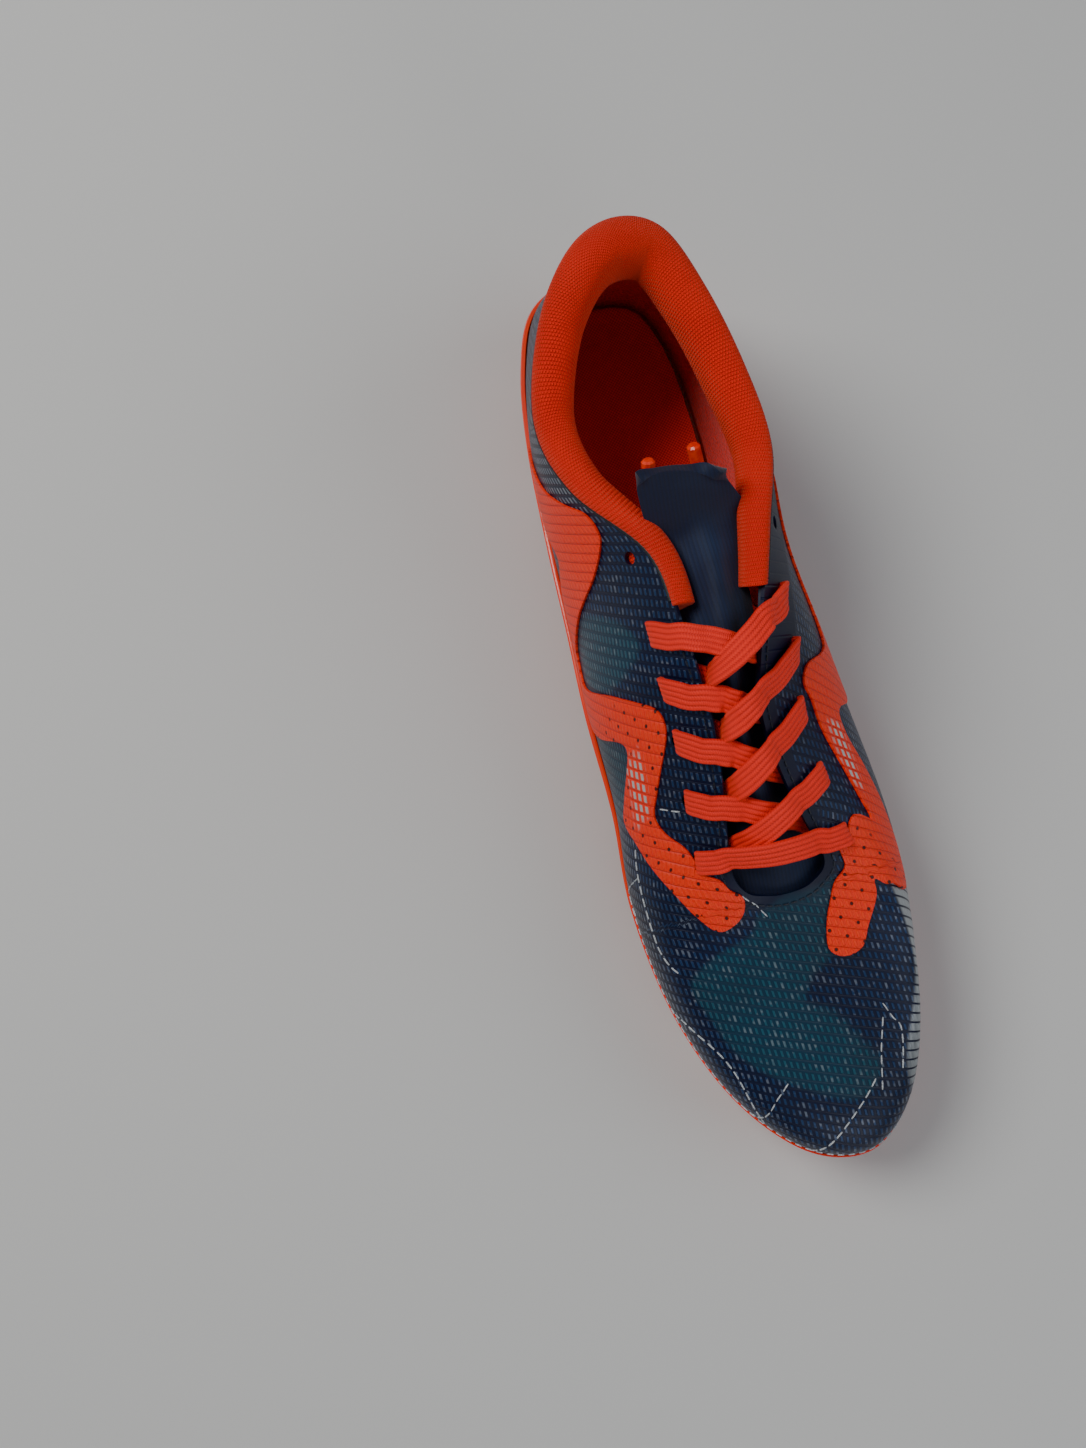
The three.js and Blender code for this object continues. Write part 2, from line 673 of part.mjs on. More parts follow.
function outsoleCup() {
  const side = (share, depth) =>
    loopThetas.map((theta) => layerPoint(theta, vAboveFeather(theta, lipHeight(theta)) * share, depth));
  const outer = gap + lipThick;
  return ringSolid(
    [
      soleRing(14, -gap),
      soleRing(-gap, -gap),
      side(0.5, gap),
      side(1, gap),
      side(1, outer),
      side(0.5, outer),
      soleRing(-outer, 0),
      soleRing(-outer + 1, -plateThick * 0.7),
      soleRing(2, -plateThick),
      soleRing(plateBorder, -plateThick),
      soleRing(plateBorder + 1.2, -plateThick + plateRecess),
      soleRing(16, -plateThick + plateRecess),
    ],
    false,
  );
}

// x of the feather line at a given y, on one side.
function featherX(side, y) {
  const [low, high] = [0.2, toeTheta - 0.2];
  const along = (theta) => (side === 'lateral' ? theta : stations - theta);
  const theta = solve((t) => -featherPoint(along(t)).y, -y, low, high);
  return featherPoint(along(theta)).x;
}

// Stud places: one row is a pair.
const studs = studRows.flatMap((row, i) =>
  ['lateral', 'medial'].map((side) => {
    const y = row[side] * lengthShare;
    const sign = side === 'lateral' ? 1 : -1;
    const x = featherX(side, y) + sign * studEdge;
    return { name: `stud_cap_${side}_${i + 1}`, place: new THREE.Vector3(x, y, 0) };
  }),
);

// A moulded post with the spigot that its cap is bonded to, turned about its own axis.
function post(place) {
  const shoulder = capLength + gap;
  const top = featherHeight(place.y) - plateThick / 2;
  const spigotEnd = capLength - spigotLength;
  const profile = [
    [0, spigotEnd], [spigotRadius, spigotEnd], [spigotRadius, shoulder], [postRadius, shoulder],
    [postRadius + postFlare * 0.25, shoulder + (top - shoulder) * 0.45],
    [postRadius + postFlare, top], [0, top],
  ];
  return lathe(profile, studSides).translate(place.x, place.y, 0);
}

function cap(place) {
  const bore = spigotRadius + gap;
  const profile = [
    [0, 0], [capEndRadius - capShoulder, 0], [capEndRadius, capShoulder], [capBaseRadius, capLength],
    [bore, capLength], [bore, capLength - spigotLength - gap], [0, capLength - spigotLength - gap],
  ];
  return lathe(profile, studSides).translate(place.x, place.y, 0);
}

// A turned solid about Z from [radius, z] pairs.
function lathe(profile, sidesRound) {
  const points = profile.map(([r, z]) => new THREE.Vector2(r, z));
  return new THREE.LatheGeometry(points, sidesRound).rotateX(Math.PI / 2);
}

// A long moulded rib under the arch.
function archRib(share) {
  const stops = spread(0, 1, 8).map((t) => {
    const y = (archRibFrom + (archRibTo - archRibFrom) * t) * lengthShare;
    const [left, right] = [featherX('lateral', y), featherX('medial', y)];
    const x = left + (right - left) * (0.5 + share * (0.19 + 0.085 * t));
    const height = ribHeight * Math.sin(Math.PI * Math.min(Math.max(t, 0.04), 0.96)) ** 0.5;
    return { x, y, z: featherHeight(y) - plateThick + ribRoot, height };
  });
  const outline = [[-0.5, 0], [-0.25, -1], [0.25, -1], [0.5, 0]];
  const sections = stops.map(({ x, y, z, height }) =>
    outline.map(([a, b]) => new THREE.Vector3(x + a * ribWidth, y, z + b * (ribRoot + height))),
  );
  return sweptSolid(sections, outline, outline);
}

function addOutsole() {
  const solids = [...studs.map(({ place }) => post(place)), ...[-1, 0, 1].map(archRib)].map(toSolid);
  const whole = solids.reduce((sum, solid) => sum.add(solid), toSolid(outsoleCup()));
  addPiece('outsole', toGeometry(whole.simplify(joinSlack)), orangeMoulded);
  for (const { name, place } of studs) addPiece(name, cap(place), aluminium);
}

// ---- Throat ----

// The smooth face that bridges the throat at a y on its edges. Its share is -1 at the lateral edge
// and 1 at the medial edge, and its depth is measured down from it.
function bridge(y) {
  const ends = { lateral: throatTheta('lateral', y), medial: throatTheta('medial', y) };
  const [left, right] = [toplinePoint(ends.lateral), toplinePoint(ends.medial)];
  const [leftNormal, rightNormal] = [surfaceNormal(ends.lateral, 1), surfaceNormal(ends.medial, 1)];
  const at = (share, depth) => {
    const t = (1 + share) / 2;
    const normal = leftNormal.clone().lerp(rightNormal, t).normalize();
    const lift = throatCrown * (1 - share * share);
    const point = left.clone().lerp(right, t).add(new THREE.Vector3(0, -lift * 0.3, lift));
    return { point: point.addScaledVector(normal, -depth), normal };
  };
  return { ends, at };
}

// ---- Tongue ----

const tongueShares = spread(-1, 1, 8);
const bridgeShare = 0.5; // the share of the tongue's half width that spans the throat
const spanned = (u) => Math.min(Math.abs(u), bridgeShare) / bridgeShare;
const beyond = (u) => Math.max(Math.abs(u) - bridgeShare, 0) / (1 - bridgeShare);

// Row round the bottom of the throat, at a distance in front of its edge.
function tongueArcRow(forward) {
  return tongueShares.map((u) => {
    const theta = toeTheta + Math.sign(u) * spanned(u) * tongueArcHalf;
    const v = vBelowTop(theta, forward + beyond(u) * tongueTuck);
    return { point: layerPoint(theta, v, -tongueSeat), normal: surfaceNormal(theta, v) };
  });
}

// Row across the throat at a y on its edges.
function tongueRow(y) {
  const { ends, at } = bridge(y);
  const tuck = tongueTuck - tongueTuckTaper * smooth(y, tongueArmY - 16, tongueArmY - 6);
  const underArm = smooth(y, tongueArmY - 4, tongueArmY + 12);
  const edge = THREE.MathUtils.lerp(tongueDepthEdge, tongueDepthArm, underArm);
  const middle = THREE.MathUtils.lerp(tongueDepthCentre, tongueDepthFlap, underArm);
  return tongueShares.map((u) => {
    const depth = THREE.MathUtils.lerp(middle, edge, smooth(spanned(u), 0, 1));
    if (beyond(u) === 0) return at(Math.sign(u) * spanned(u), depth);
    const theta = u < 0 ? ends.lateral : ends.medial;
    const v = vBelowTop(theta, beyond(u) * tuck);
    return { point: layerPoint(theta, v, -depth), normal: surfaceNormal(theta, v) };
  });
}

// Rows of the free flap, each turned a little further back than the one before.
function tongueFlapRows() {
  const { point: root } = bridge(tongueHingeY).at(0, tongueDepthFlap);
  const step = tongueFlapLength / tongueFlapSteps;
  const centre = root.clone();
  return spread(0, 1, tongueFlapSteps).map((share) => {
    const angle = rad(THREE.MathUtils.lerp(tongueFlapStart, tongueFlapEnd, share));
    const along = new THREE.Vector3(0, Math.cos(angle), Math.sin(angle));
    const rise = new THREE.Vector3(0, -Math.sin(angle), Math.cos(angle));
    if (share > 0) centre.addScaledVector(along, step);
    const rounding = Math.sqrt(1 - 0.5 * Math.max(0, (share - 0.7) / 0.3) ** 2);
    const half = (tongueFlapRoot + tongueFlare * smooth(share, 0.12, 0.6)) * rounding;
    return tongueShares.map((u) => {
      const lean = rad(tongueFlapLean) * u;
      const level = new THREE.Vector3(Math.sin(lean), 0, 0);
      const normal = rise.clone().multiplyScalar(Math.cos(lean)).add(level);
      const sag = tongueFlapSag * u * u;
      const point = centre.clone().addScaledVector(rise, -sag).add(new THREE.Vector3(u * half, 0, 0));
      return { point, normal };
    });
  });
}

const tongueLayers = [
  ['face', tongueFaceThick, () => navySmooth],
  ['foam', tongueFoamThick, () => foamGrey],
  ['lining', tongueLiningThick, () => orangeKnit],
];
function addTongue() {
  const baseYs = spread(tongueBaseY, tongueHingeY - tongueHingeRoom, 8);
  const baseRows = [tongueArcRow(throatPatchWidth - 2), tongueArcRow(0), ...baseYs.map(tongueRow)];
  const flapRows = tongueFlapRows();
  let top = 0;
  for (const [name, thick, material] of tongueLayers) {
    for (const [part, rows] of [['base', baseRows], ['flap', flapRows]]) {
      const grid = (extra) =>
        rows.map((row) =>
          row.map(({ point, normal }) => point.clone().addScaledVector(normal, -extra)),
        );
      addPiece(`tongue_${part}_${name}`, slabSolid(grid(top), grid(top + thick)), material());
    }
    top += thick + tongueLayerGap;
  }
}

// ---- Lace ----

// Stops along the lace: place, the lace's sideways direction there, its width and its thickness.
const laceFull = { width: laceWidth, thick: laceThick };
const laceBunched = { width: laceNeck, thick: laceNeckThick };
const laceHalf = { width: (laceWidth + laceNeck) / 2 + 0.8, thick: laceThick };
const laceTip = { width: 2 * agletBore * 0.8, thick: laceThick };

// Heights over the bridged throat at shares of its width, from the lateral edge (-1) to the medial edge
// (1): of the strands that climb to the medial side, which lie on top, of the strands that climb to the
// lateral side, and of the bottom bar.
const strandShares = [-1, -0.75, -0.49, -0.2, 0.1, 0.5, 0.8, 1];
const strandHeights = {
  medial: [-3.6, -2.5, -0.3, 0.6, 1.0, 1.5, 1.75, 1.85],
  lateral: [1.85, 0.2, -1.85, -1.6, -1.4, -2.2, -3.3, -3.6],
  bar: [1.85, 2.1, 2.4, 2.7, 2.7, 2.4, 2.0, 1.85],
};

// Stops through an eyelet. The lace is above it, inside it or below it, on the throat's side.
function eyeletStop(side, row, height, towards, shape = laceBunched) {
  const { theta, inset } = eyelets[side][row];
  const place = layerPoint(theta, vBelowTop(theta, inset - towards), height);
  return { place, sideways: throatTangent(theta), ...shape };
}

// Direction of the throat's edge, towards the heel.
function throatTangent(theta) {
  const run = toplinePoint(theta + 0.05).sub(toplinePoint(theta - 0.05)).normalize();
  return run.y < 0 ? run.negate() : run;
}

// Stops from inside one eyelet, across the throat and into another. A climbing strand leaves under the
// facing, a little below the row that it comes from.
function strandStops(from, to, kind) {
  const isBar = kind === 'bar';
  const rowY = ({ row }) => eyeletRows[row] * lengthShare;
  const inset = ({ side, row }) => eyeletInsets[side][row];
  const leaveY = rowY(from) + (isBar ? 0 : strandLeave[kind]);
  const climb = (rowY(to) - leaveY) / (2 * throatHalf(rowY(from)) + inset(to));
  const shares = to.side === 'medial' ? strandShares : [...strandShares].reverse();
  const across = shares.map((share) => {
    const travelled = (to.side === 'medial' ? 1 + share : 1 - share) * throatHalf(rowY(from));
    const y = leaveY + climb * travelled - (isBar ? barBow * (1 - share * share) : 0);
    const height = strandHeights[kind][strandShares.indexOf(share)];
    const place = bridge(y).at(share, -height).point;
    return { place, ...laceFull, width: laceWidth * Math.hypot(1, climb) };
  });
  for (const stop of across) stop.sideways = throatTangent(eyelets[from.side][from.row].theta);
  const [near, far] = isBar ? [1.9, 1.85] : [-3.9, -3.8];
  return [
    eyeletStop(from.side, from.row, -1.2, 0),
    eyeletStop(from.side, from.row, near, 1.1),
    eyeletStop(from.side, from.row, far, inset(from) / 2, laceHalf),
    ...across,
    eyeletStop(to.side, to.row, 1.85, inset(to) / 2, laceHalf),
    eyeletStop(to.side, to.row, 1.9, 1.1),
  ];
}

// Half the throat's width at a y on its edges.
function throatHalf(y) {
  const { ends } = bridge(y);
  return toplinePoint(ends.lateral).distanceTo(toplinePoint(ends.medial)) / 2;
}

// The lace's free ends go down inside and back behind the tongue.
function tailStops(side) {
  const sign = side === 'lateral' ? -1 : 1;
  const { centre, theta } = eyelets[side][0];
  const places = tailOffsets.map(([x, y, z]) => new THREE.Vector3(sign * x, y, z).add(centre));
  const end = places[places.length - 1];
  const back = places[places.length - 2].clone().sub(end).normalize();
  const narrow = [agletOverlap + 1.5, agletOverlap, 0].map((reach) => end.clone().addScaledVector(back, reach));
  const level = new THREE.Vector3(1, 0, 0);
  return [
    eyeletStop(side, 0, -1.2, 0),
    ...places.slice(0, -1).map((place, i) => ({
      place,
      sideways: throatTangent(theta).lerp(level, Math.min(i / 3, 1)),
      ...(i < 1 ? laceBunched : laceFull),
    })),
    { place: narrow[0], sideways: level, ...laceBunched },
    { place: narrow[1], sideways: level, ...laceTip },
    { place: narrow[2], sideways: level, ...laceTip },
  ];
}

function laceRoute() {
  const last = eyeletRows.length - 1;
  const climb = (start) => {
    const stops = [];
    let side = start;
    for (let row = last; row > 0; row--) {
      const other = side === 'lateral' ? 'medial' : 'lateral';
      stops.push(...strandStops({ side, row }, { side: other, row: row - 1 }, other));
      side = other;
    }
    return [...stops, ...tailStops(side)];
  };
  const barStops = strandStops({ side: 'lateral', row: last }, { side: 'medial', row: last }, 'bar');
  return [...climb('lateral').reverse(), ...barStops.slice(1), ...climb('medial')];
}

// A flat band through the stops, with its edges drawn in.
const bandOutline = [[1, 0], [0.86, 1], [-0.86, 1], [-1, 0], [-0.86, -1], [0.86, -1]];
function bandSolid(stops) {
  const path = new THREE.CatmullRomCurve3(stops.map(({ place }) => place), false, 'centripetal');
  const count = stops.length - 1;
  const sections = [];
  for (let k = 0; k <= 2 * count; k++) {
    const i = Math.min(Math.floor(k / 2), count - 1);
    const share = k / 2 - i;
    const t = k / (2 * count);
    const flatRun = stops[i].width === laceWidth && stops[i + 1].width === laceWidth;
    if (flatRun && share === 0.5) continue;
    const mix = (name) => THREE.MathUtils.lerp(stops[i][name], stops[i + 1][name], share);
    const tangent = path.getTangent(t);
    const flat = stops[i].sideways.clone().lerp(stops[i + 1].sideways, share);
    const face = tangent.clone().cross(flat).normalize();
    const sideways = face.clone().cross(tangent);
    const [half, thin] = [mix('width') / 2, mix('thick') / 2];
    const corner = ([a, b]) =>
      path.getPoint(t).addScaledVector(sideways, a * half).addScaledVector(face, b * thin);
    sections.push(bandOutline.map(corner));
  }
  return sweptSolid(sections, bandOutline, bandOutline);
}

function addLace() {
  const stops = laceRoute();
  addPiece('lace', bandSolid(stops), orangeKnit);
  const last = stops.length - 1;
  for (const [name, end, before] of [['aglet_lateral', 0, 1], ['aglet_medial', last, last - 1]]) {
    const tip = stops[end].place;
    const direction = tip.clone().sub(stops[before].place).normalize();
    const start = agletOverlap;
    const profile = [
      [agletBore, 0], [agletRadius, 0], [agletRadius, agletLength - 0.6], [agletRadius - 0.6, agletLength],
      [0, agletLength], [0, start + gap], [agletBore, start + gap], [agletBore, 0],
    ];
    const turn = new THREE.Quaternion().setFromUnitVectors(up, direction);
    const place = tip.clone().addScaledVector(direction, -start);
    addPiece(name, lathe(profile, 10).applyQuaternion(turn).translate(...place.toArray()), agletClear);
  }
}

addOutsole();
addFootbed();
addUpper();
addStiffeners();
addLinings();
addEyestays();
addOverlays();
addCollar();
addTongue();
addLace();

// The origin goes to the middle of the shoe's plan box.
const box = new THREE.Box3().setFromObject(shoe);
const centre = box.getCenter(new THREE.Vector3());
shoe.position.set(-centre.x, -centre.y, -box.min.z);

export default shoe;
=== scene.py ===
import math
import random

import bmesh
import bpy
import numpy as np
from mathutils import Matrix, Vector


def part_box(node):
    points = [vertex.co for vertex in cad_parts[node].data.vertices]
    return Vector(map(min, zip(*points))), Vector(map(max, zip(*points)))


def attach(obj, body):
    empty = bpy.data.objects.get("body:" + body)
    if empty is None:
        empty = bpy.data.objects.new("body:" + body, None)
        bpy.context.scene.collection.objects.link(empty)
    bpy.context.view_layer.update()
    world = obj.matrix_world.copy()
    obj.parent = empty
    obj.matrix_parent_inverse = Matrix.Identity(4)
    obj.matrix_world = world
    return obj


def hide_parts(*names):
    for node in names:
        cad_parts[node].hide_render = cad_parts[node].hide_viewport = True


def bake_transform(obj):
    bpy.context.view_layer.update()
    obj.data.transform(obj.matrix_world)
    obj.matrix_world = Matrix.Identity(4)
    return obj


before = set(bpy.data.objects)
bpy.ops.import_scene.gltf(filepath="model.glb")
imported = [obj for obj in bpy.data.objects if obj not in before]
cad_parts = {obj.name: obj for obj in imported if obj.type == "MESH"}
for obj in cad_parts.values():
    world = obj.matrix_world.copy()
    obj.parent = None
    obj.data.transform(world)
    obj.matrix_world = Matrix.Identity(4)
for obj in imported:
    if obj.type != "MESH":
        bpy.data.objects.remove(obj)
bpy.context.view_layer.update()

random.seed(7)
mm = 0.001
stations = 24

# ---- The last: the same ribs as the upper's solid, in millimetres ----
# Feather x, y; topline x, y, z; bulge angle and first tangent; pitch angle and last tangent.
ribTable = np.array([
    [0, 136.5, 0, 124, 102, 13, 30, 102, 24],
    [-17, 131.5, -13, 119.5, 99.5, 12, 29, 98, 22],
    [-25, 114.5, -24.5, 106.5, 88.5, 10, 27, 90, 20],
    [-29.5, 90, -32, 84, 78, 10, 25, 84, 18],
    [-32, 60, -27.5, 62.5, 78.5, 11, 25, 70, 20],
    [-33.5, 32, -12.3, 38, 85.5, 12, 27, 50, 24],
    [-35, 5, -10.2, 14, 86.5, 13, 28, 40, 25],
    [-35.5, -25, -8.2, -10, 78.5, 14, 26, 33, 26],
    [-38.5, -55, -10.3, -34, 67.5, 15, 24, 28, 26],
    [-35.5, -88, -12.3, -51, 58.8, 14, 24, 24, 27],
    [-25.5, -116.5, -9.5, -58.5, 54.8, 12, 25, 21, 34],
    [-10, -136, -3.5, -61.2, 53, 9, 25, 18, 42],
    [7, -141.5, 3, -62, 52.8, 8, 25, 18, 46],
    [20.5, -132.5, 9.5, -60.8, 53.8, 9, 25, 19, 41],
    [29, -112, 14.5, -55.5, 56.5, 12, 25, 22, 33],
    [37.5, -84, 10.5, -42, 65, 14, 25, 26, 27],
    [40.5, -55, 6.8, -27, 72.5, 15, 26, 31, 27],
    [38.5, -25, 5.6, -10, 79.5, 14, 28, 36, 27],
    [33, 5, 12, 13, 87, 13, 30, 44, 26],
    [27.5, 32, 20.5, 37, 85.5, 12, 29, 62, 23],
    [25, 60, 28.5, 60, 81, 11, 27, 78, 20],
    [25.5, 90, 27, 83, 83.5, 10, 26, 86, 19],
    [23.5, 114.5, 21, 104, 91.5, 10, 27, 92, 20],
    [16, 131.5, 12.5, 119.5, 99.5, 12, 29, 98, 22],
], dtype=float)
lastLength = 272


def smoothStep(value, low, high):
    t = np.clip((np.asarray(value, dtype=float) - low) / (high - low), 0, 1)
    return t * t * (3 - 2 * t)


def ribValue(column, theta):
    theta = np.asarray(theta, dtype=float)
    base = np.floor(theta).astype(int)
    t = theta - base
    a, b, c, d = [ribTable[(base + k) % stations, column] for k in (-1, 0, 1, 2)]
    return b + 0.5 * t * (c - a + t * (2 * a - 5 * b + 4 * c - d + t * (3 * (b - c) + d - a)))


def featherHeight(y):
    spring = np.maximum(0, (-0.18 * lastLength - y) / (0.32 * lastLength))
    return 17 + 4 * smoothStep(y, -0.2 * lastLength, 0.22 * lastLength) + 6.5 * spring ** 2


def unit(vectors):
    return vectors / np.linalg.norm(vectors, axis=-1, keepdims=True)


def featherPoint(theta):
    x, y = ribValue(0, theta), ribValue(1, theta)
    return np.stack([x, y, featherHeight(y)], -1)


def outward(theta):
    step = featherPoint(np.asarray(theta) + 0.02) - featherPoint(np.asarray(theta) - 0.02)
    return unit(np.stack([step[..., 1], -step[..., 0], 0 * step[..., 0]], -1))


def toplinePoint(theta):
    x, y = ribValue(2, theta), ribValue(3, theta)
    usual = 21 - 4 * smoothStep(-y, -0.22 * lastLength, 0.2 * lastLength)
    return np.stack([x, y, featherHeight(y) + ribValue(4, theta) - usual], -1)


def surfacePoint(theta, v):
    theta, v = np.broadcast_arrays(np.asarray(theta, dtype=float), np.asarray(v, dtype=float))
    side = outward(theta)
    bulge = np.radians(ribValue(5, theta))[..., None]
    pitch = np.radians(ribValue(7, theta))[..., None]
    up = np.array([0, 0, 1.0])
    start, end = featherPoint(theta), toplinePoint(theta)
    rise = up * np.cos(bulge) + side * np.sin(bulge)
    arrive = up * np.sin(pitch) - side * np.cos(pitch)
    first = start + rise * ribValue(6, theta)[..., None]
    last = end - arrive * ribValue(8, theta)[..., None]
    t = np.clip(v, 0, 1)[..., None]
    over = np.maximum(v - 1, 0)[..., None] * 3 * ribValue(8, theta)[..., None]
    curve = (1 - t) ** 3 * start + 3 * t * (1 - t) ** 2 * first + 3 * t * t * (1 - t) * last + t ** 3 * end
    return curve + arrive * over


def surfaceNormal(theta, v):
    theta, v = np.broadcast_arrays(np.asarray(theta, dtype=float), np.asarray(v, dtype=float))
    along = surfacePoint(theta + 0.03, v) - surfacePoint(theta - 0.03, v)
    rising = surfacePoint(theta, np.minimum(v + 0.01, 1)) - surfacePoint(theta, np.minimum(v, 0.99))
    return unit(np.cross(along, rising))


def layerPoint(theta, v, depth):
    return surfacePoint(theta, v) + surfaceNormal(theta, v) * np.asarray(depth, dtype=float)[..., None]


# Distance down a rib from the topline, as a table over theta and v.
arcThetas = np.linspace(0, stations, 481)
arcVs = np.linspace(0, 1, 61)
arcPoints = surfacePoint(arcThetas[:, None], arcVs[None, :])
arcSteps = np.linalg.norm(np.diff(arcPoints, axis=1), axis=2)
arcFromTop = np.concatenate([np.cumsum(arcSteps[:, ::-1], axis=1)[:, ::-1], np.zeros((481, 1))], axis=1)


def depthBelowTop(theta, v):
    column = (np.asarray(theta) % stations) * 20
    low = np.clip(np.floor(column).astype(int), 0, 479)
    share = column - low
    v = np.broadcast_to(v, low.shape)
    result = np.empty(low.shape)
    for index in np.ndindex(low.shape):
        a = np.interp(v[index], arcVs, arcFromTop[low[index]])
        b = np.interp(v[index], arcVs, arcFromTop[low[index] + 1])
        result[index] = a + (b - a) * share[index]
    return result


def vBelowTop(theta, distance):
    column = int(round((theta % stations) * 20))
    return float(np.interp(distance, arcFromTop[column][::-1], arcVs[::-1]))


def collarPlace(theta, height, depth):
    if height > 0:
        v = 1 + height / (3 * float(ribValue(8, theta)))
    else:
        v = vBelowTop(theta, -height)
    return layerPoint(theta, v, depth)


# The part's frame is centred on its plan box, and the ribs are moved to match.
shellLow, shellHigh = [np.array(c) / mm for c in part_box("upper_shell")]
ringThetas = np.arange(60) * 0.4
ownShell = layerPoint(ringThetas[:, None], np.linspace(0, 1, 10)[None, :], 0 * ringThetas[:, None] * np.zeros((1, 10)))
ownLow, ownHigh = ownShell.reshape(-1, 3).min(0), ownShell.reshape(-1, 3).max(0)
shift = (shellLow + shellHigh - ownLow - ownHigh) / 2
shift[2] = 0
print("shift of the ribs in mm:", [round(float(a), 3) for a in shift])


# ---- Shader wiring ----

class Signal:
    def __init__(self, paint, socket):
        self.paint = paint
        self.socket = socket

    def maths(self, operation, *others):
        inputs = dict(enumerate([self, *others]))
        return self.paint.node("ShaderNodeMath", {"operation": operation}, inputs)

    def __add__(self, other):
        return self.maths("ADD", other)

    def __radd__(self, other):
        return self.maths("ADD", other)

    def __sub__(self, other):
        return self.maths("SUBTRACT", other)

    def __rsub__(self, other):
        return self.maths("MULTIPLY", -1).maths("ADD", other)

    def __mul__(self, other):
        return self.maths("MULTIPLY", other)

    def __rmul__(self, other):
        return self.maths("MULTIPLY", other)

    def __truediv__(self, other):
        return self.maths("DIVIDE", other)

    def fraction(self):
        return self.maths("FRACT")

    def whole(self):
        return self.maths("FLOOR")

    def size(self):
        return self.maths("ABSOLUTE")

    def wave(self):
        return self.maths("SINE")

    def least(self, other):
        return self.maths("MINIMUM", other)

    def most(self, other):
        return self.maths("MAXIMUM", other)

    def ramp(self, low, high, start=0.0, end=1.0):
        return self.paint.node(
            "ShaderNodeMapRange", {"interpolation_type": "SMOOTHSTEP"},
            {"Value": self, "From Min": low, "From Max": high, "To Min": start, "To Max": end})


class Paint:
    def __init__(self, name, **values):
        self.material = bpy.data.materials.new(name)
        self.material.use_nodes = True
        self.tree = self.material.node_tree
        self.shader = next(n for n in self.tree.nodes if n.type == "BSDF_PRINCIPLED")
        self.set(**values)

    def put(self, socket, value):
        if isinstance(value, Signal):
            self.tree.links.new(value.socket, socket)
        elif isinstance(value, (tuple, list)) and len(value) == 3 and socket.type == "RGBA":
            socket.default_value = (*value, 1)
        else:
            socket.default_value = value

    def set(self, **values):
        for name, value in values.items():
            self.put(self.shader.inputs[name.replace("_", " ")], value)
        return self

    def node(self, kind, settings=None, inputs=None, output=0):
        made = self.tree.nodes.new(kind)
        for name, value in (settings or {}).items():
            if name == "stops":
                ramp = made.color_ramp
                while len(ramp.elements) < len(value):
                    ramp.elements.new(0.5)
                for element, (place, colour) in zip(ramp.elements, value):
                    element.position = place
                    element.color = (*colour, 1)
            else:
                setattr(made, name, value)
        for name, value in (inputs or {}).items():
            self.put(made.inputs[name], value)
        return Signal(self, made.outputs[output])

    def place(self, scale=1000.0):
        point = self.node("ShaderNodeTexCoord", output="Object")
        return self.node("ShaderNodeVectorMath", {"operation": "SCALE"}, {0: point, "Scale": scale})

    def parts(self, vector):
        split = self.node("ShaderNodeSeparateXYZ", None, {0: vector})
        return [Signal(self, split.socket.node.outputs[i]) for i in range(3)]

    def mapped(self, name):
        return self.parts(self.node("ShaderNodeUVMap", {"uv_map": name}))

    def layer(self, name):
        return self.node("ShaderNodeAttribute", {"attribute_name": name}, output="Fac")

    def noise(self, vector, scale, detail=3.0, rough=0.5):
        return self.node("ShaderNodeTexNoise", None,
                         {"Vector": vector, "Scale": scale, "Detail": detail, "Roughness": rough})

    def mix(self, factor, a, b):
        made = self.tree.nodes.new("ShaderNodeMix")
        made.data_type = "RGBA"
        for index, value in ((0, factor), (6, a), (7, b)):
            self.put(made.inputs[index], value)
        return Signal(self, made.outputs[2])

    def bump(self, height, distance, strength=1.0, below=None):
        inputs = {"Height": height, "Distance": distance, "Strength": strength}
        if below is not None:
            inputs["Normal"] = below
        return self.node("ShaderNodeBump", None, inputs)


# ---- Mesh helpers ----

def deselect():
    if bpy.context.mode != "OBJECT":
        bpy.ops.object.mode_set(mode="OBJECT")
    bpy.ops.object.select_all(action="DESELECT")


def activate(piece):
    deselect()
    piece.select_set(True)
    bpy.context.view_layer.objects.active = piece


def modify(piece, kind, **settings):
    activate(piece)
    modifier = piece.modifiers.new(kind.lower(), kind)
    for name, value in settings.items():
        setattr(modifier, name, value)
    bpy.ops.object.modifier_apply(modifier=modifier.name)


def smoothShade(piece, angle=35):
    activate(piece)
    bpy.ops.object.shade_smooth_by_angle(angle=math.radians(angle))


def cleaned(piece, merge=0.02, recalculate=True):
    activate(piece)
    bpy.ops.object.mode_set(mode="EDIT")
    bpy.ops.mesh.select_all(action="SELECT")
    bpy.ops.mesh.remove_doubles(threshold=merge * mm)
    if recalculate:
        bpy.ops.mesh.normals_make_consistent(inside=False)
    bpy.ops.object.mode_set(mode="OBJECT")


def closeEnds(piece):
    activate(piece)
    bpy.ops.object.mode_set(mode="EDIT")
    bpy.ops.mesh.select_all(action="SELECT")
    bpy.ops.mesh.fill_holes(sides=0)
    bpy.ops.mesh.normals_make_consistent(inside=False)
    bpy.ops.object.mode_set(mode="OBJECT")


# A grid whose vertices are moved by place(s, t), with s and t from 0 to 1.
def shapedGrid(name, columns, rows, place):
    deselect()
    bpy.ops.mesh.primitive_grid_add(x_subdivisions=columns, y_subdivisions=rows, size=2, calc_uvs=True)
    piece = bpy.context.active_object
    piece.name = piece.data.name = name
    flat = np.empty(len(piece.data.vertices) * 3)
    piece.data.vertices.foreach_get("co", flat)
    flat = flat.reshape(-1, 3)
    points = (place((flat[:, 0] + 1) / 2, (flat[:, 1] + 1) / 2) + shift) * mm
    piece.data.vertices.foreach_set("co", points.ravel())
    piece.data.update()
    return piece


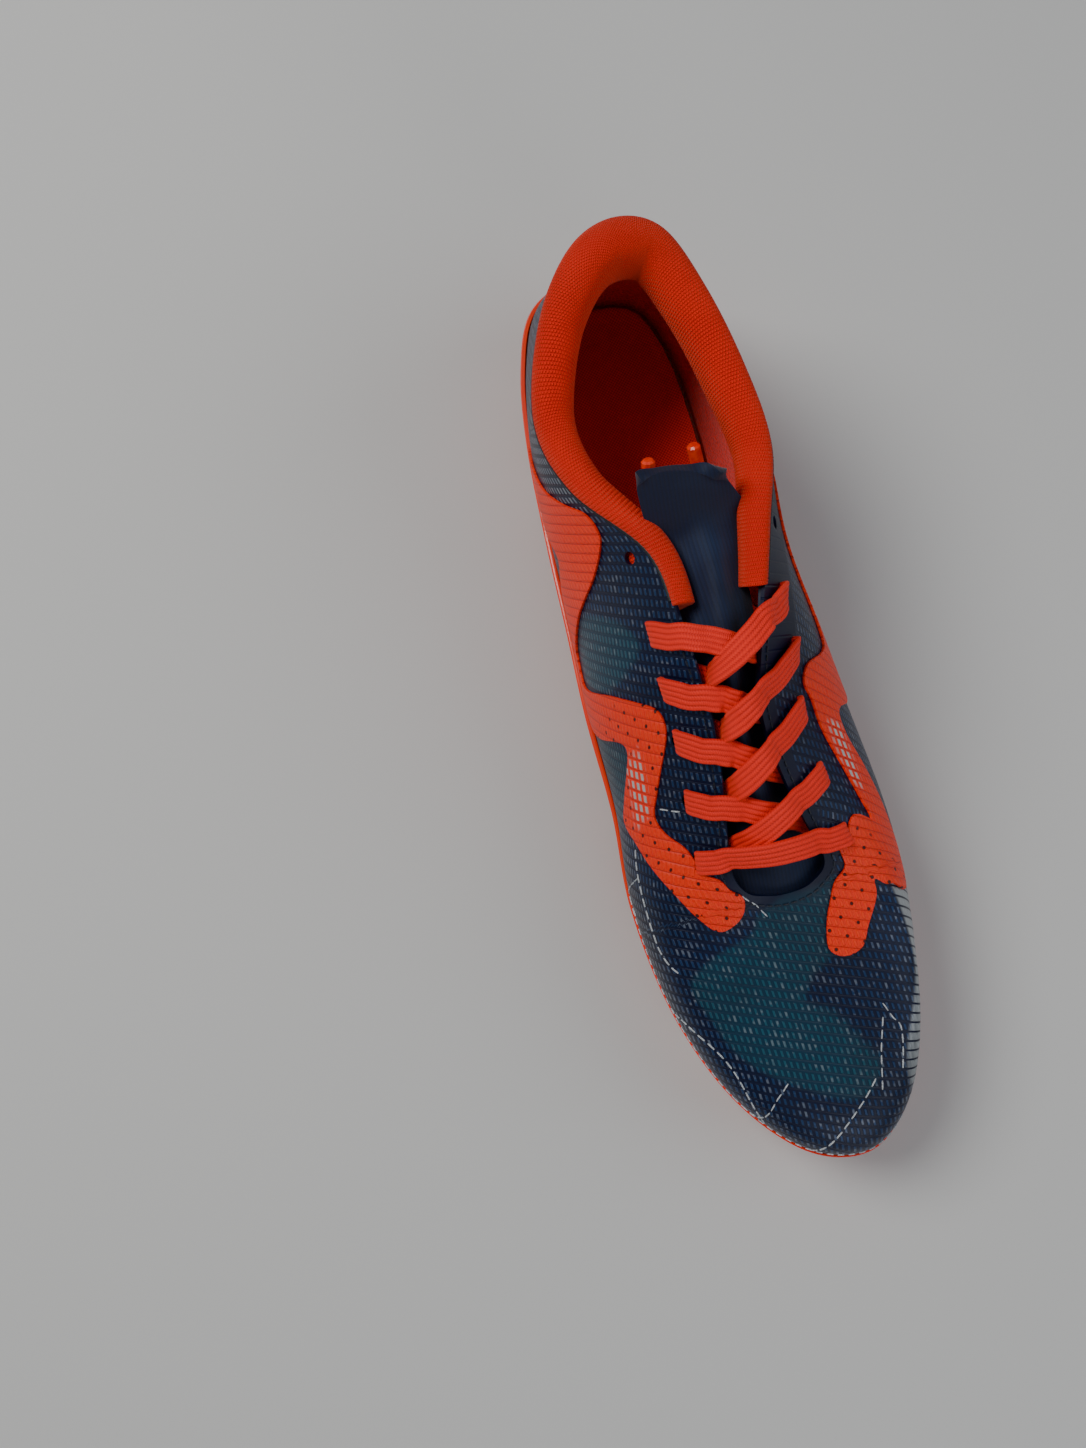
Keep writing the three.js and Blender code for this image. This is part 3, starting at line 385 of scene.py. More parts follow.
def joined(name, pieces):
    activate(pieces[0])
    for piece in pieces:
        piece.select_set(True)
    bpy.ops.object.join()
    whole = bpy.context.active_object
    whole.name = whole.data.name = name
    return whole


def floatLayer(piece, name, values):
    layer = piece.data.attributes.new(name, "FLOAT", "POINT")
    layer.data.foreach_set("value", np.asarray(values, dtype=np.float32))


def finishPiece(piece, paint, body="shoe", replaced=()):
    piece.data.materials.clear()
    piece.data.materials.append(paint.material)
    if body:
        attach(piece, body)
    if replaced:
        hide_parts(*replaced)


# A smooth curve through stops, each a list of numbers, read at shares from 0 to 1.
def smoothCurve(stops, shares, closed=False):
    stops = np.asarray(stops, dtype=float)
    count = len(stops)
    spans = count if closed else count - 1
    place = np.clip(np.asarray(shares, dtype=float), 0, 1) * spans
    base = np.minimum(np.floor(place).astype(int), spans - 1)
    t = (place - base)[:, None]
    def at(k):
        index = base + k
        return stops[index % count] if closed else stops[np.clip(index, 0, count - 1)]
    a, b, c, d = at(-1), at(0), at(1), at(2)
    return b + 0.5 * t * (c - a + t * (2 * a - 5 * b + 4 * c - d + t * (3 * (b - c) + d - a)))


def insideOutline(points, outline):
    inside = np.zeros(len(points), dtype=bool)
    x, y = points[:, 0], points[:, 1]
    for (x0, y0), (x1, y1) in zip(outline, np.roll(outline, -1, axis=0)):
        crosses = (y0 > y) != (y1 > y)
        with np.errstate(divide="ignore", invalid="ignore"):
            inside ^= crosses & (x < (x1 - x0) * (y - y0) / (y1 - y0) + x0)
    return inside


def distanceToLine(points, line):
    best = np.full(len(points), 1e9)
    for a, b in zip(line[:-1], line[1:]):
        run = b - a
        t = np.clip(((points - a) @ run) / max(run @ run, 1e-9), 0, 1)[:, None]
        best = np.minimum(best, np.linalg.norm(points - a - t * run, axis=1))
    return best


# ---- Colours ----
colours = {
    "navy": (0.0008, 0.0045, 0.03),
    # navyDashAndHighlight and tealDashAndHighlight: the dashes' own blue, lightened as painted highlight on the raised
    # dashes
    "navyDashAndHighlight": (0.014, 0.045, 0.13),
    "teal": (0.003, 0.03, 0.062),
    "tealDashAndHighlight": (0.022, 0.1, 0.15),
    "silver": (0.42, 0.45, 0.47),
    "orange": (1.0, 0.018, 0.0003),
    # orangeGrooveShade: painted shade in the welded film's grooves
    "orangeGrooveShade": (0.5, 0.006, 0.001),
    "orangeLight": (1.0, 0.05, 0.004),
    "red": (1.0, 0.022, 0.001),
    # redGrooveShade: painted shade in the gaps of the knit and the grooves of the lace
    "redGrooveShade": (0.68, 0.007, 0.0005),
    "black": (0.003, 0.003, 0.004),
    "white": (0.75, 0.78, 0.8),
}
print("frame and helpers ready")


# ---- Camera, floor and light ----
camera = {"lens": 37.35, "place": (-70.8, -45.2, 486.6), "right": (0.963, -0.27, 0.007),
          "up": (0.267, 0.956, 0.124)}
lights = [  # place, size, power, colour: a broad key over the heel's lateral side, a fill and a rim
    ((-0.55, 0.45, 0.95), 0.6, 8.5, (1.0, 0.98, 0.95)),
    ((0.75, -0.25, 0.7), 0.9, 2.6, (0.92, 0.96, 1.0)),
    ((0.1, -0.9, 0.5), 0.6, 1.8, (1.0, 1.0, 1.0)),
]


def addCamera():
    data = bpy.data.cameras.new("camera")
    data.sensor_fit = "VERTICAL"
    data.sensor_height = 36
    data.lens = camera["lens"]
    data.clip_start = 0.01
    data.clip_end = 20
    eye = bpy.data.objects.new("camera", data)
    bpy.context.scene.collection.objects.link(eye)
    right = Vector(camera["right"]).normalized()
    back = right.cross(Vector(camera["up"])).normalized()
    up = back.cross(right)
    turn = Matrix((right, up, back)).transposed().to_4x4()
    eye.matrix_world = Matrix.Translation(Vector(camera["place"]) * mm) @ turn
    bpy.context.scene.camera = eye


def addStage():
    deselect()
    bpy.ops.mesh.primitive_plane_add(size=8, location=(0, 0, -0.0004))
    floor = bpy.context.active_object
    floor.name = "floor"
    paint = Paint("paleFloor", Base_Color=(0.62, 0.62, 0.61), Roughness=0.85)
    floor.data.materials.append(paint.material)
    for i, (place, size, power, colour) in enumerate(lights):
        data = bpy.data.lights.new("softLight" + str(i), "AREA")
        data.shape = "DISK"
        data.size = size
        data.energy = power
        data.color = colour
        lamp = bpy.data.objects.new("softLight" + str(i), data)
        bpy.context.scene.collection.objects.link(lamp)
        lamp.location = place
        lamp.rotation_euler = (Vector((0, 0, 0.05)) - Vector(place)).to_track_quat("-Z", "Y").to_euler()
    world = bpy.data.worlds.new("softSky")
    world.use_nodes = True
    world.node_tree.nodes["Background"].inputs["Color"].default_value = (0.8, 0.86, 0.95, 1)
    world.node_tree.nodes["Background"].inputs["Strength"].default_value = 0.16
    bpy.context.scene.world = world


addCamera()
addStage()
print("camera, floor and light set")


# ---- Upper ----
upperLook = {"columns": 336, "rows": 72, "wall": 1.2, "dashLength": 3.1, "rowPitch": 1.75,
             "dashLift": 0.00028, "patchEdge": 0.9}

# Patches of colour on the upper, as outlines in theta and v.
patches = {
    "teal": [
        [(9.8, 0.68), (10.29, 0.81), (10.9, 0.9), (10.97, 0.96), (11.96, 1.0), (13.53, 0.96), (12.75, 0.92),
         (12.29, 0.88), (12.24, 0.83), (11.94, 0.81), (11.76, 0.75), (12.0, 0.71), (12.22, 0.58),
         (12.31, 0.51), (12.21, 0.46), (11.99, 0.44), (11.37, 0.5), (10.5, 0.52), (10.1, 0.56), (9.61, 0.57)],
        [(5.1, 0.14), (5.1, 0.4), (5.3, 0.57), (5.6, 0.72), (5.95, 0.78), (6.1, 0.6), (6.0, 0.42), (5.7, 0.2)],
        [(6.3, 0.2), (6.7, 0.5), (6.95, 0.52), (7.2, 0.42), (7.25, 0.2), (6.8, 0.1)],
    ],
    "silver": [
        [(14.9, 0.62), (15.15, 0.46), (15.1, 0.12), (14.4, 0.1), (13.4, 0.12), (12.85, 0.3), (12.8, 0.44),
         (13.2, 0.5), (13.8, 0.5), (14.4, 0.56)],
    ],
}


def midLine(y):
    lateral = np.interp(y, [-62, -51, -34, -10, 14, 38, 62, 84, 106, 124],
                        [-3.5, -12.3, -10.3, -8.2, -10.2, -12.3, -27.5, -32, -24.5, 0])
    medial = np.interp(y, [-62, -42, -27, -10, 13, 37, 60, 83, 104, 124],
                       [3, 10.5, 6.8, 5.6, 12, 20.5, 28.5, 27, 21, 0])
    return (lateral + medial) / 2


toeRibYs, toeRibXs, toeRibZs = None, None, None


def weaveMap(theta, v, points):
    rib = surfacePoint(12.0, np.linspace(0, 1, 60))
    y = points[:, 1]
    ahead = y < -62
    centreX = np.where(ahead, np.interp(y, rib[:, 1], rib[:, 0]), midLine(y))
    topHeight = np.interp(y, [-62, -34, -10, 14, 40], [53, 68, 80, 88, 89])
    centreZ = np.where(ahead, np.interp(y, rib[:, 1], rib[:, 2]), topHeight)
    side = np.where(theta < 12, -1.0, 1.0)
    chord = np.hypot(points[:, 0] - centreX, points[:, 2] - centreZ)
    forward = side * chord * (1 + 0.0022 * chord)
    fromTop = depthBelowTop(theta, v)
    half = np.abs(toplinePoint(theta)[:, 0] - midLine(toplinePoint(theta)[:, 1]))
    ribwise = side * (half + fromTop)
    toeward = smoothStep(theta, 6.5, 9.2) * (1 - smoothStep(theta, 14.8, 17.5))
    across = forward * toeward + ribwise * (1 - toeward)
    nose = smoothStep(-y, 95, 138) * 0.7 * np.maximum(centreZ - points[:, 2], 0)
    heel = np.minimum(theta, stations - theta)
    round_ = np.where(heel < 3, (3 - heel) * 21.0, 0)
    along = np.where(heel < 3, 88 + round_, y - nose)
    return along, across


def patchMask(theta, v, points, outlines, edge):
    mask = np.zeros(len(points))
    for outline in outlines:
        shares = np.linspace(0, 1, len(outline) * 5)
        ring = smoothCurve(outline, shares, closed=True)
        line = surfacePoint(ring[:, 0], ring[:, 1])
        distance = distanceToLine(points, np.vstack([line, line[:1]]))
        signed = np.where(insideOutline(np.stack([theta, v], 1), ring), distance, -distance)
        mask = np.maximum(mask, smoothStep(signed, -edge, edge))
    return mask


def eyeletPlaces():
    rows = [17, 2.5, -12.5, -29, -44.5]
    insets = {"lateral": [9.5, 11.5, 11.5, 10.5, 9.5], "medial": [10, 15.5, 15.5, 14.5, 13]}
    places = {}
    for side, (low, high) in {"lateral": (4.7, 9.6), "medial": (14.2, 19.3)}.items():
        thetas = np.linspace(low, high, 2000)
        ys = toplinePoint(thetas)[:, 1]
        places[side] = []
        for y, inset in zip(rows, insets[side]):
            theta = float(thetas[np.abs(ys - y).argmin()])
            places[side].append((theta, inset, vBelowTop(theta, inset)))
    return places


eyelets = eyeletPlaces()
spares = [(4.95, 8, vBelowTop(4.95, 8)), (19.05, 8, vBelowTop(19.05, 8))]


def navyPaint():
    paint = Paint("navyEmbossed", Specular_IOR_Level=0.32)
    along, across, _ = paint.mapped("weave")
    point = paint.place()
    drift = paint.noise(point, 0.05, 2)
    row = across / upperLook["rowPitch"] + drift * 0.25
    cell = along / upperLook["dashLength"] + row * 0.22
    inRow = (row.fraction() - 0.5).size()
    inCell = (cell.fraction() - 0.5).size()
    dash = inRow.ramp(0.27, 0.16) * inCell.ramp(0.36, 0.27)
    seam = inCell.ramp(0.4, 0.48)
    plain = paint.layer("plain")
    teal = paint.layer("teal")
    silver = paint.layer("silver")
    ribs = paint.layer("ribbed")
    show = dash * (1 - plain)
    # The dash colour is lightened and mixed with silver at random specks and in two marked areas: painted highlight on
    # the raised dashes, over the dashes' own blue.
    highlightSpeck = paint.noise(point, 0.35, 2)
    bright = paint.layer("bright")
    base = paint.mix(teal, colours["navy"], colours["teal"])
    dashAndHighlight = paint.mix(teal, colours["navyDashAndHighlight"], colours["tealDashAndHighlight"])
    dashAndHighlight = paint.mix((highlightSpeck.ramp(0.5, 0.68) * 0.3 + bright * 0.55).least(1), dashAndHighlight, colours["silver"])
    colour = paint.mix(show, base, dashAndHighlight)
    colour = paint.mix(silver * (inCell.ramp(0.42, 0.36)) * 0.9, colour, colours["silver"])
    wide = paint.noise(point, 0.03, 2)
    colour = paint.mix(wide.ramp(0.35, 0.7) * 0.25, colour, colours["black"])
    strip = ((along / 3.4).fraction() - 0.5).size().ramp(0.5, 0.36)
    fine = paint.noise(point, 2.2, 3)
    height = show + ribs * strip * 0.6 + fine * 0.10 - seam * (1 - plain) * 0.22
    rough = 0.34 + fine * 0.12 + plain * 0.08 - show * 0.08
    paint.set(Base_Color=colour, Roughness=rough, Metallic=silver * 0.55 + show * 0.18,
              Normal=paint.bump(height, upperLook["dashLift"], 0.9))
    return paint


def addUpper():
    def place(s, t):
        return layerPoint(s * stations, t, np.zeros_like(s))
    shell = shapedGrid("upper", upperLook["columns"], upperLook["rows"], place)
    mesh = shell.data
    flat = np.empty(len(mesh.vertices) * 3)
    mesh.vertices.foreach_get("co", flat)
    points = flat.reshape(-1, 3) / mm - shift
    uv = mesh.uv_layers.active
    loops = np.empty(len(mesh.loops), dtype=np.int32)
    mesh.loops.foreach_get("vertex_index", loops)
    st = np.empty(len(mesh.loops) * 2)
    uv.data.foreach_get("uv", st)
    st = st.reshape(-1, 2)
    vertexST = np.zeros((len(mesh.vertices), 2))
    vertexST[loops] = st
    theta, v = vertexST[:, 0] * stations, vertexST[:, 1]
    along, across = weaveMap(theta, v, points)
    weave = mesh.uv_layers.new(name="weave")
    weave.data.foreach_set("uv", np.stack([along, across], 1)[loops].ravel())
    for name, outlines in patches.items():
        floatLayer(shell, name, patchMask(theta, v, points, outlines, upperLook["patchEdge"]))
    fromTop = depthBelowTop(theta, v)
    rim = 1 - smoothStep(fromTop, 3.4, 4.2)
    toeBand = rim * smoothStep(theta, 8.6, 9.2) * (1 - smoothStep(theta, 14.6, 15.2))
    medialBand = smoothStep(theta, 14.6, 15.2) * (1 - smoothStep(fromTop, 6, 7)) * (1 - smoothStep(theta, 20.4, 20.8))
    medialRibs = smoothStep(theta, 17.2, 17.5) * (1 - smoothStep(fromTop, 17, 19)) * (1 - smoothStep(theta, 20.4, 20.8))
    foot = 1 - smoothStep(v, 0.03, 0.06)
    floatLayer(shell, "plain", np.clip(toeBand + medialBand + medialRibs + foot, 0, 1))
    floatLayer(shell, "ribbed", medialRibs)
    # Painted highlight areas: near the knit on the lateral heel side and low on the lateral forefoot side, the dashes
    # are painted silver.
    nearKnit = (1 - smoothStep(fromTop, 14, 19)) * smoothStep(theta, 2.2, 2.8) * (1 - smoothStep(theta, 4.1, 4.6))
    lowSide = (1 - smoothStep(v, 0.25, 0.5)) * smoothStep(theta, 6.8, 7.6) * (1 - smoothStep(theta, 9.2, 10))
    floatLayer(shell, "bright", np.clip(0.6 * nearKnit + 0.6 * lowSide, 0, 1))
    cleaned(shell, recalculate=False)
    modify(shell, "SOLIDIFY", thickness=upperLook["wall"] * mm, offset=-1, use_even_offset=False)
    cutters = []
    for eyeTheta, _, eyeV in eyelets["lateral"] + eyelets["medial"] + spares:
        centre = (surfacePoint(eyeTheta, eyeV) + shift) * mm
        normal = Vector(surfaceNormal(eyeTheta, eyeV))
        radius = 1.9 if (eyeTheta, _, eyeV) in spares else 2.6
        deselect()
        bpy.ops.mesh.primitive_cylinder_add(vertices=28, radius=radius * mm, depth=12 * mm)
        cutter = bpy.context.active_object
        turn = normal.to_track_quat("Z", "Y").to_matrix().to_4x4()
        cutter.data.transform(Matrix.Translation(Vector(centre)) @ turn)
        cutters.append(cutter)
    cutter = joined("eyeletPunch", cutters)
    modify(shell, "BOOLEAN", operation="DIFFERENCE", object=cutter, solver="EXACT")
    bpy.data.objects.remove(cutter)
    smoothShade(shell, 40)
    finishPiece(shell, navyPaint(), replaced=["upper_shell"])
    return shell


upper = addUpper()
print("upper shaped and punched")


# ---- Welded overlays ----
overlayLook = {"lift": 0.12, "thick": 0.75, "thetaStep": 0.11, "vStep": 0.03}
overlayOutlines = {
    "lateral": [
        (3.05, 0.40), (3.3, 0.53), (3.7, 0.69), (4.1, 0.86), (4.3, 0.92), (4.55, 0.87), (4.7, 0.79), (4.9, 0.64),
        (5.0, 0.52), (5.1, 0.39), (5.3, 0.25), (5.5, 0.22), (5.72, 0.24), (5.9, 0.34), (6.15, 0.53), (6.45, 0.7),
        (6.64, 0.78), (6.85, 0.8), (7.05, 0.78), (7.3, 0.73), (7.5, 0.69), (7.66, 0.66), (7.85, 0.69), (8.22, 0.8),
        (8.48, 0.845), (8.65, 0.85), (9.05, 0.945), (9.5, 0.97), (9.95, 0.985), (10.3, 0.965), (10.42, 0.93),
        (10.28, 0.89), (9.99, 0.85), (9.31, 0.8), (8.72, 0.72), (8.12, 0.59), (7.75, 0.5), (7.4, 0.4), (7.22, 0.43),
        (7.0, 0.5), (6.78, 0.55), (6.6, 0.49), (6.35, 0.3), (6.1, 0.18), (5.7, 0.12), (5.3, 0.12), (4.9, 0.16),
        (4.6, 0.27), (4.4, 0.42), (4.15, 0.4), (3.8, 0.3), (3.4, 0.34)],
    "medial": [
        (20.9, 0.3), (20.6, 0.52), (20.2, 0.66), (19.7, 0.72), (19.2, 0.68), (18.7, 0.6), (18.2, 0.52),
        (17.8, 0.5), (17.6, 0.58), (17.42, 0.72), (17.2, 0.76), (17.0, 0.73), (16.62, 0.72), (16.15, 0.68),
        (15.74, 0.63), (15.52, 0.6), (15.36, 0.72), (14.9, 0.82), (14.5, 0.915), (13.95, 0.93), (13.36, 0.95),
        (12.75, 0.93), (12.4, 0.9), (12.22, 0.85), (12.36, 0.81), (12.68, 0.79), (13.02, 0.805), (13.6, 0.8),
        (14.12, 0.79), (14.35, 0.7), (14.7, 0.58), (15.05, 0.4), (15.5, 0.38), (15.96, 0.43), (16.35, 0.5),
        (16.68, 0.56), (17.0, 0.55), (17.2, 0.4), (17.5, 0.3), (17.9, 0.3), (18.5, 0.38), (19.2, 0.5),
        (19.8, 0.56), (20.2, 0.48), (20.4, 0.34), (20.55, 0.24)],
}


def overlayPaint():
    paint = Paint("weldedFilm", Specular_IOR_Level=0.35)
    along, across, _ = paint.mapped("weave")
    point = paint.place()
    row = across / upperLook["rowPitch"]
    cell = along / upperLook["dashLength"] + row * 0.22
    inRow = (row.fraction() - 0.5).size()
    inCell = (cell.fraction() - 0.5).size()
    dash = inRow.ramp(0.3, 0.18) * inCell.ramp(0.38, 0.28)
    column = across / 4.6
    holeA = (column.fraction() - 0.5) * 4.6
    holeB = ((along / 5.8 + column.whole() * 0.5).fraction() - 0.5) * 5.8
    hole = (holeA * holeA + holeB * holeB).ramp(0.36, 0.17) * paint.layer("punched")
    silver = paint.layer("silver")
    fine = paint.noise(point, 1.6, 3)
    colour = paint.mix(fine.ramp(0.3, 0.7), colours["orange"], colours["orangeLight"])
    # Painted shade and highlight: the grooves at the cell ends and between the rows are painted darker, and the raised
    # dashes lighter.
    colour = paint.mix(inCell.ramp(0.38, 0.5) * 0.6, colour, colours["orangeGrooveShade"])
    colour = paint.mix(inRow.ramp(0.36, 0.5) * 0.35, colour, colours["orangeGrooveShade"])
    colour = paint.mix(dash * 0.3, colour, colours["orangeLight"])
    pair = ((across / 2.6).fraction() - 0.5).size().ramp(0.3, 0.2) * inCell.ramp(0.36, 0.28)
    colour = paint.mix(silver * pair, colour, (0.62, 0.62, 0.6))
    colour = paint.mix(hole * (1 - silver) * 0.92, colour, colours["black"])
    height = dash * 0.8 - inCell.ramp(0.4, 0.5) * 0.5 - hole * 1.4 + fine * 0.12
    paint.set(Base_Color=colour, Roughness=0.42 + fine * 0.12, Metallic=silver * pair * 0.6,
              Normal=paint.bump(height, 0.0004, 0.9))
    return paint


filmPaint = overlayPaint()


def addOverlay(side, outline):
    ring = smoothCurve(outline, np.linspace(0, 1, len(outline) * 4, endpoint=False), closed=True)
    mesh = bpy.data.meshes.new("overlay" + side)
    work = bmesh.new()
    work.faces.new([work.verts.new((a, b, 0)) for a, b in ring])
    low, high = ring.min(0), ring.max(0)
    for axis, step in ((0, overlayLook["thetaStep"]), (1, overlayLook["vStep"])):
        count = int((high[axis] - low[axis]) / step)
        for i in range(1, count + 1):
            point = Vector((0, 0, 0))
            point[axis] = low[axis] + i * step
            normal = Vector((0, 0, 0))
            normal[axis] = 1
            bmesh.ops.bisect_plane(work, geom=work.verts[:] + work.edges[:] + work.faces[:],
                                   plane_co=point, plane_no=normal, dist=1e-6)
    bmesh.ops.triangulate(work, faces=[f for f in work.faces if len(f.verts) > 4])
    work.to_mesh(mesh)
    work.free()
    piece = bpy.data.objects.new("overlay_" + side + "_film", mesh)
    bpy.context.scene.collection.objects.link(piece)
    flat = np.empty(len(mesh.vertices) * 3)
    mesh.vertices.foreach_get("co", flat)
    flat = flat.reshape(-1, 3)
    theta, v = flat[:, 0].copy(), flat[:, 1].copy()
    points = layerPoint(theta, v, np.full(len(theta), overlayLook["lift"]))
    along, across = weaveMap(theta, v, points)
    loops = np.empty(len(mesh.loops), dtype=np.int32)
    mesh.loops.foreach_get("vertex_index", loops)
    weave = mesh.uv_layers.new(name="weave")
    weave.data.foreach_set("uv", np.stack([along, across], 1)[loops].ravel())
    if side == "lateral":
        strip = smoothStep(theta, 6.85, 6.95) * (1 - smoothStep(theta, 7.55, 7.65))
        strip = strip * smoothStep(v, 0.5, 0.52) * (1 - smoothStep(v, 0.62, 0.64))
    else:
        strip = smoothStep(theta, 15.9, 16.0) * (1 - smoothStep(theta, 16.75, 16.85))
        strip = strip * smoothStep(v, 0.57, 0.58) * (1 - smoothStep(v, 0.66, 0.67))
    floatLayer(piece, "silver", strip)
    punched = smoothStep(theta, 6.2, 6.4) if side == "lateral" else 1 - smoothStep(theta, 15.1, 15.3)
    floatLayer(piece, "punched", punched * (1 - strip))
    mesh.vertices.foreach_set("co", ((points + shift) * mm).ravel())
    mesh.update()
    outwardSum = sum(f.normal.dot(Vector(surfaceNormal(float(theta[f.vertices[0]]), float(v[f.vertices[0]]))))
                     for f in list(mesh.polygons)[:40])
    if outwardSum < 0:
        mesh.flip_normals()
    modify(piece, "SOLIDIFY", thickness=overlayLook["thick"] * mm, offset=1)
    modify(piece, "BEVEL", width=0.25 * mm, segments=2, limit_method="ANGLE", angle_limit=math.radians(60))
    smoothShade(piece, 50)
    finishPiece(piece, filmPaint, replaced=["overlay_" + side])
    return ring


overlayRings = {side: addOverlay(side, outline) for side, outline in overlayOutlines.items()}
print("overlays laid on")


# ---- Stitching and printed lines ----
lineLook = {"lift": 0.16, "dash": 2.6, "space": 1.1, "width": 0.42, "thick": 0.16}
whiteLines = [
    [(7.65, 0.69), (7.79, 0.78), (7.88, 0.85)],
    [(9.95, 0.985), (10.67, 0.975), (11.4, 0.94)],
    [(7.74, 0.46), (8.0, 0.43), (8.57, 0.43), (8.89, 0.46), (9.55, 0.6)],
    [(7.98, 0.43), (7.9, 0.2), (8.22, 0.22)],
    [(9.0, 0.17), (9.35, 0.32), (9.8, 0.41), (10.15, 0.44), (10.36, 0.42), (10.45, 0.36), (10.5, 0.2), (10.5, 0.12)],
    [(10.0, 0.12), (10.2, 0.12), (10.45, 0.2), (10.75, 0.32), (11.0, 0.42), (11.35, 0.54)],
    [(11.1, 0.11), (11.71, 0.33), (12.05, 0.43), (12.24, 0.48)],
    [(12.26, 0.42), (12.36, 0.54), (12.55, 0.63)],
    [(12.56, 0.64), (12.64, 0.58), (12.74, 0.52), (12.61, 0.4)],
]


def dashedLine(line, dash, space, width, thick, lift):
    shares = np.linspace(0, 1, max(60, len(line) * 30))
    track = smoothCurve(line, shares)
    points = layerPoint(track[:, 0], track[:, 1], np.full(len(track), lift))
    normals = surfaceNormal(track[:, 0], track[:, 1])
    lengths = np.concatenate([[0], np.cumsum(np.linalg.norm(np.diff(points, axis=0), axis=1))])
    vertices, faces = [], []
    start = 0.3
    while start + dash < lengths[-1]:
        base = len(vertices)
        for k in range(5):
            place = start + dash * k / 4
            centre = np.array([np.interp(place, lengths, points[:, i]) for i in range(3)])
            normal = unit(np.array([np.interp(place, lengths, normals[:, i]) for i in range(3)]))
            near = np.array([np.interp(place + 0.2, lengths, points[:, i]) for i in range(3)])
            far = np.array([np.interp(place - 0.2, lengths, points[:, i]) for i in range(3)])
            across = unit(np.cross(normal, near - far)) * width * (0.34 if k in (0, 4) else 0.5)
            crown = normal * thick
            vertices += [centre - across - crown, centre - across * 0.6 + crown,
                         centre + across * 0.6 + crown, centre + across - crown]
        for k in range(4):
            for j in range(4):
                a, b = base + 4 * k + j, base + 4 * k + (j + 1) % 4
                faces.append((a, b, b + 4, a + 4))
        faces.append((base, base + 3, base + 2, base + 1))
        faces.append((base + 16, base + 17, base + 18, base + 19))
        start += dash + space
    return vertices, faces


def addLines(name, lines, paint, **look):
    vertices, faces = [], []
    for line in lines:
        points, quads = dashedLine(line, **look)
        faces += [tuple(i + len(vertices) for i in face) for face in quads]
        vertices += points
    mesh = bpy.data.meshes.new(name)
    mesh.from_pydata([tuple((p + shift) * mm) for p in vertices], [], faces)
    piece = bpy.data.objects.new(name, mesh)
    bpy.context.scene.collection.objects.link(piece)
    cleaned(piece, 0.001)
    smoothShade(piece, 40)
    finishPiece(piece, paint)
    return piece


def threadPaint(name, colour, dark):
    paint = Paint(name, Roughness=0.55)
    grain = paint.noise(paint.place(), 3.0, 2)
    paint.set(Base_Color=paint.mix(grain.ramp(0.35, 0.7), dark, colour),
              Normal=paint.bump(grain, 0.0001, 0.5))
    return paint


whiteThread = threadPaint("whiteThread", colours["white"], (0.35, 0.38, 0.42))
navyThread = threadPaint("navyThread", (0.02, 0.03, 0.06), colours["black"])
look = dict(lineLook)
addLines("upper_lines", whiteLines, whiteThread, **look)
feather = [(theta, 0.115) for theta in np.arange(8.0, 16.2, 0.25)]
addLines("feather_stitches", [feather], whiteThread, **{**look, "dash": 1.9, "space": 1.3, "width": 0.4})
throatStitch = [(theta, vBelowTop(theta, 3.0)) for theta in np.arange(8.4, 15.4, 0.2)]
rimStitch = [(theta, vBelowTop(theta, 2.4)) for theta in np.arange(5.8, 8.4, 0.2)]
rimStitchMedial = [(theta, vBelowTop(theta, 2.4)) for theta in np.arange(15.4, 18.3, 0.2)]
addLines("throat_stitches", [throatStitch, rimStitch, rimStitchMedial], navyThread,
         **{**look, "dash": 1.7, "space": 0.7, "width": 0.55, "thick": 0.2})


def addPiping():
    deselect()
    thetas = np.linspace(-5.62, 5.62, 260)
    line = []
    for theta in thetas:
        line.append(collarPlace(theta, -0.9, 0.25) + shift)
    curve = bpy.data.curves.new("collar_piping", "CURVE")
    curve.dimensions = "3D"
    curve.bevel_depth = 0.62 * mm
    curve.bevel_resolution = 3
    curve.use_fill_caps = True
    spline = curve.splines.new("POLY")
    spline.points.add(len(line) - 1)
    for point, place in zip(spline.points, line):
        point.co = (*(place * mm), 1)
    piece = bpy.data.objects.new("collar_piping", curve)
    bpy.context.scene.collection.objects.link(piece)
    activate(piece)
    bpy.ops.object.convert(target="MESH")
    piece = bpy.context.active_object
    smoothShade(piece, 60)
    finishPiece(piece, threadPaint("blackPiping", (0.01, 0.01, 0.013), (0.002, 0.002, 0.003)))


addPiping()
print("stitching, lines and piping added")


# ---- Knit collar ----
collarLook = {"end": 5.68, "pad": 9.4, "crown": 3.8, "drop": 27, "armDrop": 10, "columns": 900, "around": 44,
              "taper": 0.3, "stitch": 0.16}


def rollProfile(theta):
    full = 1 - collarLook["taper"] * float(smoothStep(abs(theta), collarLook["end"] - 2.6, collarLook["end"]))
    crown, pad = collarLook["crown"] * full, collarLook["pad"] * full
    drop = collarLook["drop"] + (collarLook["armDrop"] - collarLook["drop"]) * float(smoothStep(abs(theta), 3, 5.2))
    back = -1.75
    return [(-0.4, 0.75), (crown * 0.55, 0.5), (crown * 0.98, back + 0.3), (crown * 1.12, back - pad * 0.34),
            (crown * 0.85, back - pad * 0.68), (crown * 0.1, back - pad * 0.95), (-drop * 0.22, back - pad * 1.05),
            (-drop * 0.5, back - pad * 0.86), (-drop * 0.8, back - pad * 0.4), (-drop * 1.02, back - 0.7),
            (-drop * 0.98, back - 0.1), (-drop * 0.5, back - 0.15), (-0.9, back - 0.1), (-0.5, 0.2)]


